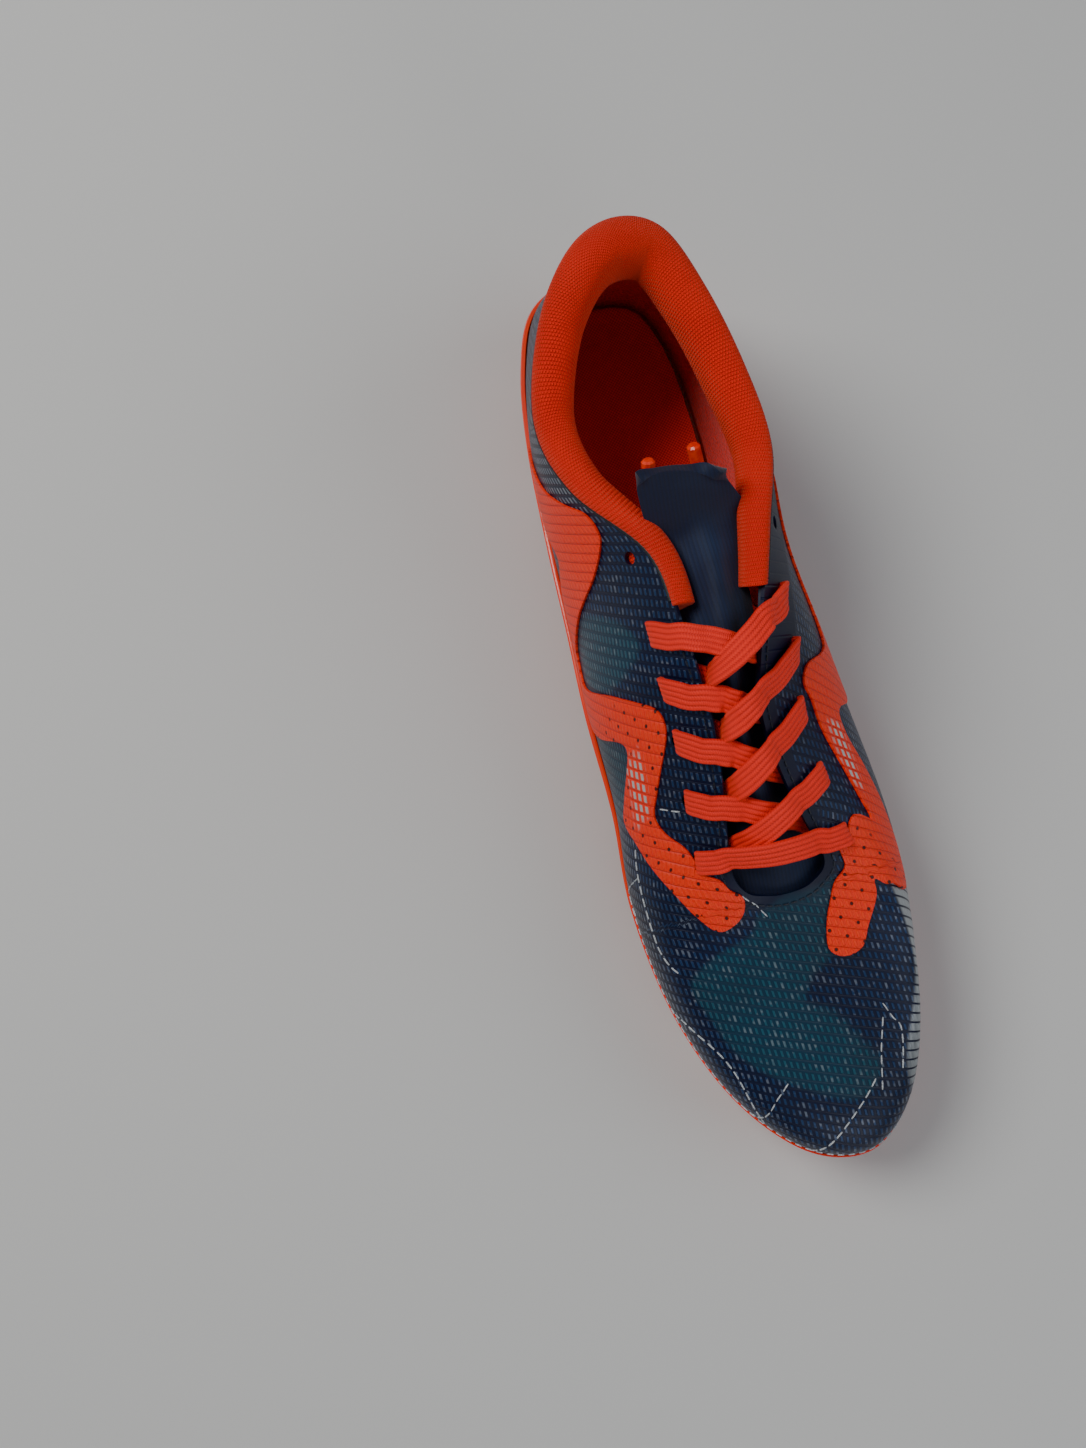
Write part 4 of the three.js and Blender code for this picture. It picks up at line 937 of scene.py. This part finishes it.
def knitPaint():
    paint = Paint("ribbedKnit", Sheen_Weight=0.35, Sheen_Roughness=0.45, Sheen_Tint=(1.0, 0.35, 0.2, 1),
                  Specular_IOR_Level=0.3)
    u, v, _ = paint.mapped("knit")
    point = paint.place()
    wale = (u / 1.25).fraction() - 0.5
    course = (v / 1.1 + (u / 1.25).whole() * 0.5).fraction() - 0.5
    loops = wale.size().ramp(0.5, 0.1) * course.size().ramp(0.5, 0.12)
    slow = paint.noise(point, 0.06, 2)
    fuzz = paint.noise(point, 3.0, 3)
    # Painted shade: the gaps between the knit loops are painted deep red, with a little random tone from the fuzz.
    colour = paint.mix((loops * 0.85 + fuzz * 0.3).least(1), colours["redGrooveShade"], colours["orange"])
    colour = paint.mix(slow.ramp(0.4, 0.65) * 0.35, colour, colours["red"])
    height = loops + fuzz * 0.25
    paint.set(Base_Color=colour, Roughness=0.78 + fuzz * 0.1, Normal=paint.bump(height, 0.0005, 0.9))
    return paint


def addCollar():
    end = collarLook["end"]
    count = 121
    thetas = np.linspace(-end, end, count)
    around = np.linspace(0, 1, collarLook["around"] + 1)
    table = np.array([[collarPlace(theta, h, d) for h, d in
                       smoothCurve(rollProfile(theta), around, closed=True)] for theta in thetas])

    def place(s, t):
        index = s * (count - 1)
        low = np.clip(index.astype(int), 0, count - 2)
        share = (index - low)[:, None]
        column = np.clip(np.round(t * collarLook["around"]).astype(int), 0, collarLook["around"])
        return table[low, column] * (1 - share) + table[low + 1, column] * share

    roll = shapedGrid("collar_knit", 360, collarLook["around"], place)
    mesh = roll.data
    loops = np.empty(len(mesh.loops), dtype=np.int32)
    mesh.loops.foreach_get("vertex_index", loops)
    st = np.empty(len(mesh.loops) * 2)
    mesh.uv_layers.active.data.foreach_get("uv", st)
    st = st.reshape(-1, 2)
    girth = 62.0
    knit = mesh.uv_layers.new(name="knit")
    knit.data.foreach_set("uv", (st * np.array([330.0, girth])).ravel())
    cleaned(roll, 0.005)
    closeEnds(roll)
    modify(roll, "BEVEL", width=1.3 * mm, segments=3, limit_method="ANGLE", angle_limit=math.radians(62))
    smoothShade(roll, 70)
    finishPiece(roll, knitPaint(), replaced=["collar_cover", "collar_foam"])
    return roll


addCollar()
print("knit collar rolled")


# ---- Tongue ----
tongueLook = {"baseY": -50, "hingeY": 42, "hingeHeight": 84.2, "topY": 57.5, "topZ": 95.5, "thick": 3.4}


def throatEnds(y):
    ends = []
    for low, high in ((4.7, 9.6), (14.2, 19.3)):
        thetas = np.linspace(low, high, 1500)
        ends.append(float(thetas[np.abs(toplinePoint(thetas)[:, 1] - y).argmin()]))
    return ends


def bridgePoint(y, share, depth):
    left, right = throatEnds(y)
    a, b = toplinePoint(left), toplinePoint(right)
    t = (1 + share) / 2
    normal = unit(surfaceNormal(left, 1.0) * (1 - t) + surfaceNormal(right, 1.0) * t)
    lift = 3 * (1 - share * share)
    return a * (1 - t) + b * t + np.array([0, -0.3 * lift, lift]) - normal * depth


def tonguePaint():
    paint = Paint("tongueCloth", Specular_IOR_Level=0.28, Sheen_Weight=0.15, Sheen_Roughness=0.5)
    point = paint.place()
    x, y, z = paint.parts(point)
    ribs = ((x / 1.1).fraction() - 0.5).size()
    fine = paint.noise(point, 2.4, 3)
    slow = paint.noise(point, 0.05, 2)
    colour = paint.mix(slow.ramp(0.35, 0.7), (0.0025, 0.007, 0.032), (0.006, 0.018, 0.06))
    colour = paint.mix(ribs.ramp(0.2, 0.45) * 0.3, colour, colours["black"])
    paint.set(Base_Color=colour, Roughness=0.6 + fine * 0.15,
              Normal=paint.bump(ribs * 0.5 + fine * 0.3, 0.00022, 0.7))
    return paint


def addTongue():
    shares = np.linspace(-1.7, 1.7, 23)
    rows = []
    for forward in (7, 3.5, 0):
        row = []
        for u in shares:
            theta = 12 + u / 1.7 * 2.4
            row.append(layerPoint(theta, vBelowTop(theta, forward + max(abs(u) - 1, 0) * 12), -3.1))
        rows.append(row)
    for y in np.linspace(tongueLook["baseY"], tongueLook["hingeY"] - 2, 26):
        arm = float(smoothStep(y, 12, 28))
        tuck = 16 - 10.5 * float(smoothStep(y, 0, 10))
        row = []
        left, right = throatEnds(y)
        for u in shares:
            inside = min(abs(u), 1)
            beyond = (abs(u) - inside) / 0.7
            edge, middle = 6.3 + 2.4 * arm, 2.9 + 1.1 * arm
            depth = middle + (edge - middle) * float(smoothStep(inside, 0, 1))
            if beyond == 0:
                row.append(bridgePoint(y, u, depth))
            else:
                theta = left if u < 0 else right
                row.append(layerPoint(theta, vBelowTop(theta, beyond * tuck), -depth))
        rows.append(row)
    hinge = bridgePoint(tongueLook["hingeY"], 0, 4)
    top = np.array([hinge[0] - 4.6, tongueLook["topY"], tongueLook["topZ"]]) - np.array([0, shift[1], 0])
    for t in np.linspace(0.1, 1, 9):
        centre = hinge + (top - hinge) * t
        corner = max(0, (t - 0.78) / 0.22)
        half = 15.0 - 3.2 * t - 2.6 * corner ** 2
        row = []
        for u in shares / 1.7:
            droop = (5.0 - 3.0 * t) * u * u
            tilt = -0.27 * u * half * t * t
            row.append(centre + np.array([u * half, tilt - 2.6 * corner * abs(u) ** 3, -droop]))
        rows.append(row)
    grid = np.array(rows)
    nRows, nCols = grid.shape[:2]

    def place(s, t):
        result = np.empty((len(s), 3))
        r, c = t * (nRows - 1), s * (nCols - 1)
        r0, c0 = np.clip(r.astype(int), 0, nRows - 2), np.clip(c.astype(int), 0, nCols - 2)
        fr, fc = (r - r0)[:, None], (c - c0)[:, None]
        result[:] = ((grid[r0, c0] * (1 - fc) + grid[r0, c0 + 1] * fc) * (1 - fr)
                     + (grid[r0 + 1, c0] * (1 - fc) + grid[r0 + 1, c0 + 1] * fc) * fr)
        return result

    tongue = shapedGrid("tongue", 44, (nRows - 1) * 2, place)
    normal = tongue.data.polygons[len(tongue.data.polygons) // 2].normal
    if normal.z < 0:
        tongue.data.flip_normals()
    modify(tongue, "SMOOTH", factor=0.5, iterations=3)
    modify(tongue, "SOLIDIFY", thickness=tongueLook["thick"] * mm, offset=-1)
    modify(tongue, "BEVEL", width=1.1 * mm, segments=3, limit_method="ANGLE", angle_limit=math.radians(50))
    modify(tongue, "SMOOTH", factor=0.5, iterations=6)
    smoothShade(tongue, 60)
    finishPiece(tongue, tonguePaint(), body=None,
                replaced=["tongue_base_face", "tongue_base_foam", "tongue_base_lining",
                          "tongue_flap_face", "tongue_flap_foam", "tongue_flap_lining"])
    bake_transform(tongue)


addTongue()
print("tongue laid in")


# ---- Lace ----
laceLook = {"width": 7.6, "thick": 1.25, "ridges": 5, "neck": 5.4}
rowYs = [17, 2.5, -12.5, -29, -44.5]
shares = [-1, -0.75, -0.49, -0.2, 0.1, 0.5, 0.8, 1]
strandHeights = {
    "medial": [-3.4, -2.4, -0.3, 0.8, 1.35, 1.75, 1.75, 1.7],
    "lateral": [1.7, 0.5, -1.2, -1.2, -1.1, -1.9, -3.0, -3.4],
    "bar": [1.75, 2.0, 2.3, 2.6, 2.6, 2.3, 1.95, 1.75],
}


def edgeTangent(theta):
    run = unit(toplinePoint(theta + 0.05) - toplinePoint(theta - 0.05))
    return -run if run[1] < 0 else run


def eyeStop(side, row, height, towards, width):
    theta, inset, _ = eyelets[side][row]
    place = layerPoint(theta, vBelowTop(theta, inset - towards), height)
    return [*place, *edgeTangent(theta), width, laceLook["thick"]]


def wallTable(side):
    low, high = (4.4, 10.4) if side == "lateral" else (13.6, 19.6)
    thetas, vs = np.meshgrid(np.linspace(low, high, 300), np.linspace(0.45, 1, 70), indexing="ij")
    return thetas.ravel(), vs.ravel(), surfacePoint(thetas, vs).reshape(-1, 3)


walls = {side: wallTable(side) for side in ("lateral", "medial")}


def wallStop(side, x, y, height, width, sideways):
    thetas, vs, points = walls[side]
    nearest = np.hypot(points[:, 0] - x, points[:, 1] - y).argmin()
    place = layerPoint(thetas[nearest], vs[nearest], height)
    place[0] += x - points[nearest, 0]
    place[1] += y - points[nearest, 1]
    return [*place, *sideways, width, laceLook["thick"]]


# From the throat's edge over the facing to the eyelet and down through it.
def diveStops(side, row, start, outer):
    theta, _, v = eyelets[side][row]
    eye = surfacePoint(theta, v)
    sideways, wide = edgeTangent(theta), laceLook["width"]
    run = unit(eye - start)
    stops = []
    for share, height in ((0.3, 1.6), (0.62, 1.75), (0.9, 1.6)):
        x, y = (start + (eye - start) * share)[:2]
        stops.append(wallStop(side, x, y, height, wide, sideways))
    x, y = (eye + run * outer)[:2]
    stops.append(wallStop(side, x, y, 0.75, wide * 0.93, sideways))
    x, y = (eye + run * (outer - 0.6))[:2]
    stops.append(wallStop(side, x, y, -0.6, wide * 0.72, sideways))
    stops.append(wallStop(side, eye[0], eye[1], -2.8, laceLook["neck"] * 0.6, sideways))
    return stops


def strand(start, end, kind):
    (fromSide, fromRow), (toSide, toRow) = start, end
    bar = kind == "bar"
    eye = surfacePoint(eyelets[toSide][toRow][0], eyelets[toSide][toRow][2])
    if bar:
        fromEye = surfacePoint(eyelets[fromSide][fromRow][0], eyelets[fromSide][fromRow][2])
        leave = fromEye[:2]
    else:
        leaveY = rowYs[fromRow] + {"medial": -3, "lateral": 1}[kind]
        fromTheta = throatEnds(leaveY)[0 if fromSide == "lateral" else 1]
        leave = toplinePoint(fromTheta)[:2]
    run = eye[:2] - leave
    across = []
    order = shares if toSide == "medial" else shares[::-1]
    for share in order:
        y = leave[1] + run[1] * 0.5
        for _ in range(5):
            left, right = [toplinePoint(t) for t in throatEnds(y)]
            x = left[0] + (right[0] - left[0]) * (1 + share) / 2
            y = leave[1] + run[1] * (x - leave[0]) / run[0]
        height = strandHeights[kind][shares.index(share)]
        sideways = edgeTangent(eyelets[toSide][toRow][0])
        place = bridgePoint(y, share, -height)
        across.append([*place, *sideways, laceLook["width"], laceLook["thick"]])
    stops = []
    if bar:
        stops += diveStops(fromSide, fromRow, np.array(across[0][:3]), 0.8)[::-1]
    else:
        inset = eyelets[fromSide][fromRow][1]
        stops.append(eyeStop(fromSide, fromRow, -3.6, 1.1, laceLook["neck"] * 0.7))
        stops.append(eyeStop(fromSide, fromRow, -3.6, inset / 2, laceLook["width"]))
    stops += across
    stops += diveStops(toSide, toRow, np.array(across[-1][:3]), 0.8)
    return stops


tailOffsets = [[-1.8, 0, -4.8], [-3, 3, -10], [-5, 11, -18], [-8, 23, -19], [-10, 33, -13], [-11, 41, -5]]


def tail(side):
    sign = -1 if side == "lateral" else 1
    theta, inset, v = eyelets[side][0]
    centre = surfacePoint(theta, v)
    places = [centre + np.array([sign * x, y, z]) for x, y, z in tailOffsets]
    end = places[-1]
    back = unit(places[-2] - end)
    stops = [eyeStop(side, 0, -1.2, 0, laceLook["neck"] * 0.7)]
    level = np.array([1.0, 0, 0])
    for i, place in enumerate(places[:-1]):
        share = min(i / 3, 1)
        sideways = unit(edgeTangent(theta) * (1 - share) + level * share)
        stops.append([*place, *sideways, laceLook["neck"] if i < 1 else laceLook["width"], laceLook["thick"]])
    for reach, width in ((6.5, 4.5), (5, 2.7), (0.5, 2.4)):
        stops.append([*(end + back * reach), *level, width, 1.5])
    return stops


def lacePaint():
    paint = Paint("wovenLace", Sheen_Weight=0.25, Sheen_Roughness=0.4, Sheen_Tint=(1.0, 0.3, 0.15, 1))
    u, v, _ = paint.mapped("band")
    point = paint.place()
    ridge = ((v / 1.0).fraction() - 0.5).size().ramp(0.5, 0.15)
    slant = ((u / 0.62 + ridge * 0.5).fraction() - 0.5).size().ramp(0.5, 0.1)
    fuzz = paint.noise(point, 2.6, 3)
    # Painted shade: the grooves between the ridges and slants are painted deep red, with a little random tone from the
    # fuzz.
    colour = paint.mix((ridge * 0.65 + slant * 0.35 + fuzz * 0.2).least(1), colours["redGrooveShade"], colours["orange"])
    paint.set(Base_Color=colour, Roughness=0.62 + fuzz * 0.12,
              Normal=paint.bump(ridge * 0.8 + slant * 0.45 + fuzz * 0.2, 0.0003, 0.8))
    return paint


def sweptBand(name, stops, columns):
    stops = np.array(stops)
    width = laceLook["width"]
    upper_ = [(a, 0.5 + 0.0 * a) for a in np.linspace(-0.46, 0.46, 23)]
    profile = [(-0.5, 0.0), (-0.485, 0.3)]
    for a, _ in upper_:
        groove = 0.11 * (1 - abs(math.sin(math.pi * (a + 0.5) * laceLook["ridges"]))) ** 1.5
        profile.append((a, 0.5 + 0.14 * (1 - (2 * a) ** 2) - groove))
    profile += [(0.485, 0.3), (0.5, 0.0), (0.485, -0.3)]
    profile += [(a, -0.48) for a in np.linspace(0.44, -0.44, 9)]
    profile += [(-0.485, -0.3), (-0.5, 0.0)]
    profile = np.array(profile)
    rings = smoothCurve(stops, np.linspace(0, 1, columns + 1))
    centre = rings[:, :3]
    tangent = unit(np.gradient(centre, axis=0))
    sideways = rings[:, 3:6] - tangent * (rings[:, 3:6] * tangent).sum(1, keepdims=True)
    sideways = unit(sideways)
    face = unit(np.cross(tangent, sideways))
    flip = np.where((face @ np.array([0, 0, 1.0])) < 0, -1.0, 1.0)[:, None]
    if (face[len(face) // 2] @ np.array([0, 0, 1.0])) < 0:
        face = -face

    def place(s, t):
        i = np.clip(np.round(s * columns).astype(int), 0, columns)
        j = np.clip(np.round(t * (len(profile) - 1)).astype(int), 0, len(profile) - 1)
        a, b = profile[j, 0], profile[j, 1]
        return (centre[i] + sideways[i] * (a * rings[i, 6])[:, None]
                + face[i] * (b * rings[i, 7])[:, None])

    band = shapedGrid(name, columns, len(profile) - 1, place)
    mesh = band.data
    st = np.empty(len(mesh.loops) * 2)
    mesh.uv_layers.active.data.foreach_get("uv", st)
    st = st.reshape(-1, 2)
    length = float(np.linalg.norm(np.diff(centre, axis=0), axis=1).sum())
    j = np.clip(np.round(st[:, 1] * (len(profile) - 1)).astype(int), 0, len(profile) - 1)
    uv = mesh.uv_layers.new(name="band")
    uv.data.foreach_set("uv", np.stack([st[:, 0] * length, (profile[j, 0] + 0.5) * laceLook["ridges"]], 1).ravel())
    cleaned(band, 0.002)
    closeEnds(band)
    return band


def addLace():
    bands = []
    last = len(rowYs) - 1
    for start in ("lateral", "medial"):
        side = start
        for row in range(last, 0, -1):
            other = "medial" if side == "lateral" else "lateral"
            bands.append(sweptBand("strand", strand((side, row), (other, row - 1), other), 70))
            side = other
        bands.append(sweptBand("tail", tail(side), 60))
    bands.append(sweptBand("bar", strand(("lateral", last), ("medial", last), "bar"), 80))
    lace = joined("lace_woven", bands)
    smoothShade(lace, 45)
    finishPiece(lace, lacePaint(), replaced=["lace"])


addLace()
print("lace threaded")


# ---- Outsole, posts and caps ----
soleLook = {"columns": 300, "gap": 0.3, "lip": 1.7, "plate": 3.0}


def lipHeight(theta):
    fromHeel = np.minimum(theta, stations - theta)
    heel = 1 - smoothStep(fromHeel, 1.2, 4.2)
    toe = smoothStep(fromHeel, 5.5, 9)
    return 7 + 8 * heel - 3.8 * toe


def solePaint():
    paint = Paint("moultedShell", IOR=1.5, Coat_Weight=0.35, Coat_Roughness=0.08, Subsurface_Weight=0.12,
                  Subsurface_Radius=(0.004, 0.0012, 0.0006))
    point = paint.place()
    slow = paint.noise(point, 0.04, 2)
    fine = paint.noise(point, 0.8, 3)
    dark = paint.layer("hollow")
    colour = paint.mix(slow.ramp(0.35, 0.7), (1.0, 0.035, 0.003), (1.0, 0.055, 0.006))
    # Painted shade: the recessed channel under the forefoot is painted darker red.
    colour = paint.mix(dark, colour, (0.33, 0.004, 0.001))
    paint.set(Base_Color=colour, Roughness=0.2 + fine * 0.1 + dark * 0.12,
              Normal=paint.bump(fine * 0.5 + slow, 0.0002, 0.25))
    return paint


def soleRing(theta, inset, rise):
    point = featherPoint(theta) - outward(theta) * (np.zeros(len(theta)) + inset)[:, None]
    point[:, 2] = featherHeight(point[:, 1]) + rise
    return point


def addOutsole():
    columns = soleLook["columns"]
    thetas = np.arange(columns) * stations / columns
    gap, plate = soleLook["gap"], soleLook["plate"]
    lipV = np.array([np.interp(lipHeight(t), (arcFromTop[int(round(t * 20))][0] - arcFromTop[int(round(t * 20))]),
                               arcVs) for t in thetas])

    toe = smoothStep(np.minimum(thetas, stations - thetas), 5.5, 9)
    outer = gap + soleLook["lip"] * (1 - 0.6 * toe)

    def side(share, depth):
        return layerPoint(thetas, lipV * share, np.zeros(columns) + depth)

    rings = [soleRing(thetas, 14, -gap), soleRing(thetas, -gap, -gap), side(0.5, gap), side(0.97, gap),
             side(1.0, gap + 0.3), side(1.0, outer - 0.35), side(0.96, outer), side(0.75, outer + 0.05),
             side(0.5, outer + 0.05), side(0.25, outer + 0.05),
             soleRing(thetas, -outer - 0.05, 0), soleRing(thetas, -outer + 0.35, -plate * 0.45),
             soleRing(thetas, -outer + 1.1, -plate * 0.78), soleRing(thetas, 0.6, -plate * 0.94),
             soleRing(thetas, 2, -plate), soleRing(thetas, 4, -plate), soleRing(thetas, 4.6, -plate + 0.25),
             soleRing(thetas, 5.2, -plate + 0.9), soleRing(thetas, 9, -plate + 0.9), soleRing(thetas, 14, -plate + 0.9)]
    table = np.array(rings)

    def place(s, t):
        i = np.round(s * columns).astype(int) % columns
        j = np.clip(np.round(t * (len(rings) - 1)).astype(int), 0, len(rings) - 1)
        return table[j, i]

    cup = shapedGrid("outsoleCup", columns, len(rings) - 1, place)
    cleaned(cup, 0.002, recalculate=False)
    strips = []
    for ring, lift in ((rings[0], 0.0), (rings[-1], 0.0)):
        half = columns // 2

        def cross(s, t, ring=ring):
            i = np.clip(np.round(t * half).astype(int), 0, half)
            a, b = ring[i % columns], ring[(columns - i) % columns]
            mixed = a + (b - a) * s[:, None]
            mixed[:, 2] = a[:, 2] * (1 - s) + b[:, 2] * s
            return mixed

        strips.append(shapedGrid("fill", 16, half, cross))
    whole = joined("outsole_shell", [cup, *strips])
    cleaned(whole, 0.01)
    smoothShade(whole, 40)
    mesh = whole.data
    flat = np.empty(len(mesh.vertices) * 3)
    mesh.vertices.foreach_get("co", flat)
    points = flat.reshape(-1, 3) / mm - shift
    # Mask of painted shade in the recessed channel under the forefoot centre.
    bottom = smoothStep(featherHeight(points[:, 1]) - points[:, 2], 1.5, 2.0)
    wave = 0.5 + 0.5 * np.sin(points[:, 1] / 7.5) * np.sign(np.abs(points[:, 0]) - 4)
    forefoot = (1 - smoothStep(points[:, 1], -48, -38)) * smoothStep(points[:, 1], -116, -108)
    centreBand = 1 - smoothStep(np.abs(points[:, 0] - 1), 14, 18)
    inner = (points[:, 2] > featherHeight(points[:, 1]) - 2.3).astype(float)
    floatLayer(whole, "hollow", np.clip(bottom * inner * forefoot * centreBand, 0, 1) * 0.8)
    return whole


def turned(name, profile, sides=48):
    deselect()
    bpy.ops.mesh.primitive_cylinder_add(vertices=sides, radius=profile[0][0] * mm, depth=0.2 * mm,
                                        end_fill_type="NGON", location=(0, 0, profile[0][1] * mm))
    piece = bpy.context.active_object
    piece.name = name
    bpy.ops.object.transform_apply(location=True, rotation=True, scale=True)
    work = bmesh.new()
    work.from_mesh(piece.data)
    top = [f for f in work.faces if f.normal.z > 0.9]
    current, radius, height = top[0], profile[0][0], profile[0][1] + 0.1
    for nextRadius, nextHeight in profile[1:]:
        made = bmesh.ops.extrude_discrete_faces(work, faces=[current])
        current = made["faces"][0]
        centre = Vector((0, 0, height * mm))
        scale = nextRadius / radius
        for vertex in current.verts:
            vertex.co = Vector((vertex.co.x * scale, vertex.co.y * scale, nextHeight * mm))
        side = []
        radius, height = nextRadius, nextHeight
    work.free()
    bpy.data.objects.remove(piece)
    deselect()
    points = [(r * mm, z * mm) for r, z in profile]
    mesh = bpy.data.meshes.new(name)
    vertices, faces = [], []
    for r, z in points:
        for k in range(sides):
            angle = 2 * math.pi * k / sides
            vertices.append((r * math.cos(angle), r * math.sin(angle), z))
    for row in range(len(points) - 1):
        for k in range(sides):
            a, b = row * sides + k, row * sides + (k + 1) % sides
            faces.append((a, b, b + sides, a + sides))
    faces.append(tuple(reversed(range(sides))))
    faces.append(tuple(range((len(points) - 1) * sides, len(points) * sides)))
    mesh.from_pydata(vertices, [], faces)
    made = bpy.data.objects.new(name, mesh)
    bpy.context.scene.collection.objects.link(made)
    return made


def metalPaint():
    paint = Paint("turnedAluminium", Metallic=1.0, Anisotropic=0.45)
    point = paint.place()
    x, y, z = paint.parts(point)
    grooves = paint.noise(paint.node("ShaderNodeCombineXYZ", None, {0: 0.0, 1: 0.0, 2: z}), 6.0, 2)
    smudge = paint.noise(point, 0.14, 3)
    colour = paint.mix(smudge.ramp(0.35, 0.7), (0.6, 0.6, 0.6), (0.74, 0.74, 0.73))
    paint.set(Base_Color=colour, Roughness=0.24 + smudge * 0.08 + grooves * 0.06,
              Normal=paint.bump(grooves, 0.00006, 0.5))
    return paint


def addStuds(cup):
    metal = metalPaint()
    sole = solePaint()
    capProfile = [(2.2, 0.55), (3.0, 0.5), (3.4, 0.1), (3.9, 0.0), (4.25, 0.02), (4.95, 0.55), (5.3, 1.2),
                  (5.45, 1.6), (6.15, 7.9), (6.3, 8.25), (6.3, 8.62), (6.12, 8.8), (5.5, 8.8)]
    posts = [cup]
    for side in ("lateral", "medial"):
        for row in range(1, 7):
            node = "stud_cap_" + side + "_" + str(row)
            low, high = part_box(node)
            x, y = (low[0] + high[0]) / 2, (low[1] + high[1]) / 2
            cap = turned("cap_" + side + "_" + str(row), capProfile)
            cap.data.transform(Matrix.Translation((x, y, 0)))
            cleaned(cap, 0.001)
            smoothShade(cap, 28)
            finishPiece(cap, metal, replaced=[node])
            top = float(featherHeight(y / mm - shift[1])) - 1.2
            shoulder = 8.95
            rise = top - shoulder
            profile = [(5.6, shoulder), (6.45, shoulder), (6.75, shoulder + 0.25), (6.8, shoulder + 0.6),
                       (7.0, shoulder + rise * 0.4), (7.7, shoulder + rise * 0.7), (8.9, top), (9.4, top + 0.8)]
            post = turned("post", profile, 40)
            post.data.transform(Matrix.Translation((x, y, 0)))
            cleaned(post, 0.001)
            floatLayer(post, "hollow", np.zeros(len(post.data.vertices)))
            posts.append(post)
    for share in (-1, 0, 1):
        posts.append(archRib(share))
    whole = joined("outsole_shell", posts)
    smoothShade(whole, 40)
    finishPiece(whole, sole, replaced=["outsole"])


def archRib(share):
    thetas = np.linspace(0.2, 11.8, 800)
    lateral, medial = featherPoint(thetas), featherPoint(stations - thetas)

    def place(s, t):
        stop = np.clip(s, 0, 1)
        y = 70 + (14 - 70) * stop
        left = np.interp(-y, -lateral[:, 1], lateral[:, 0])
        right = np.interp(-y, -medial[:, 1], medial[:, 0])
        x = left + (right - left) * (0.5 + share * (0.19 + 0.085 * stop))
        height = 2.7 * np.sin(np.pi * np.clip(stop, 0.02, 0.98)) ** 0.5
        angle = np.pi * t
        return np.stack([x - 1.9 * np.cos(angle), y, featherHeight(y) - 2.0 - (height + 0.5) * np.sin(angle)], -1)

    rib = shapedGrid("rib", 60, 14, place)
    cleaned(rib, 0.001)
    floatLayer(rib, "hollow", np.zeros(len(rib.data.vertices)))
    return rib


addStuds(addOutsole())
print("outsole, posts and caps made")


# ---- Carried-over parts ----
def liningPaint():
    paint = Paint("meshLining", Sheen_Weight=0.2, Sheen_Roughness=0.5)
    point = paint.place()
    cells = paint.node("ShaderNodeTexVoronoi", {"feature": "DISTANCE_TO_EDGE"}, {"Vector": point, "Scale": 0.75})
    holes = cells.ramp(0.02, 0.2)
    fine = paint.noise(point, 1.5, 3)
    # Painted shade: the hollows of the mesh cells are painted darker red.
    colour = paint.mix(holes * 0.5, (1.0, 0.02, 0.001), (0.5, 0.006, 0.001))
    paint.set(Base_Color=colour, Roughness=0.8 + fine * 0.1, Normal=paint.bump(1 - holes, 0.0002, 0.6))
    return paint


def footbedPaint():
    paint = Paint("footbedCloth", Sheen_Weight=0.15, Sheen_Roughness=0.5)
    point = paint.place()
    x, y, z = paint.parts(point)
    weaveA = (((x + y) / 1.1).fraction() - 0.5).size()
    weaveB = (((x - y) / 1.1).fraction() - 0.5).size()
    fuzz = paint.noise(point, 1.2, 3)
    # Painted shade: the low parts of the weave are painted darker red.
    colour = paint.mix((weaveA + weaveB).ramp(0.2, 0.8), (0.6, 0.008, 0.001), (1.0, 0.03, 0.004))
    paint.set(Base_Color=colour, Roughness=0.85, Normal=paint.bump(weaveA + weaveB + fuzz * 0.3, 0.00015, 0.5))
    return paint


def plainPaint(name, dark, light, rough, scale, lift):
    paint = Paint(name)
    point = paint.place()
    grain = paint.noise(point, scale, 4)
    paint.set(Base_Color=paint.mix(grain.ramp(0.35, 0.65), dark, light), Roughness=rough + grain * 0.1,
              Normal=paint.bump(grain, lift, 0.5))
    return paint


def dress(node, paint):
    mesh = bpy.data.objects[node].data
    if len(mesh.materials):
        for i in range(len(mesh.materials)):
            mesh.materials[i] = paint.material
    else:
        mesh.materials.append(paint.material)


def addCarried():
    lining, footbed = liningPaint(), footbedPaint()
    board = plainPaint("fibreBoard", (0.42, 0.39, 0.33), (0.62, 0.58, 0.5), 0.85, 0.9, 0.0002)
    stiff = plainPaint("formedSheet", (0.32, 0.3, 0.27), (0.48, 0.46, 0.42), 0.6, 0.6, 0.0001)
    facing = plainPaint("navyFacing", (0.0025, 0.006, 0.022), (0.007, 0.016, 0.05), 0.5, 1.2, 0.00015)
    film = plainPaint("tipFilm", (0.8, 0.02, 0.003), (1.0, 0.06, 0.01), 0.18, 0.4, 0.0001)
    looks = {"heel_lining": lining, "forefoot_lining": lining, "sockliner": footbed, "lasting_board": board,
             "heel_counter": stiff, "toe_puff": stiff, "eyestay_lateral": facing, "eyestay_medial": facing,
             "throat_patch": facing, "aglet_lateral": film, "aglet_medial": film}
    for node, paint in looks.items():
        dress(node, paint)


addCarried()
deselect()
print("materials on the carried-over parts")
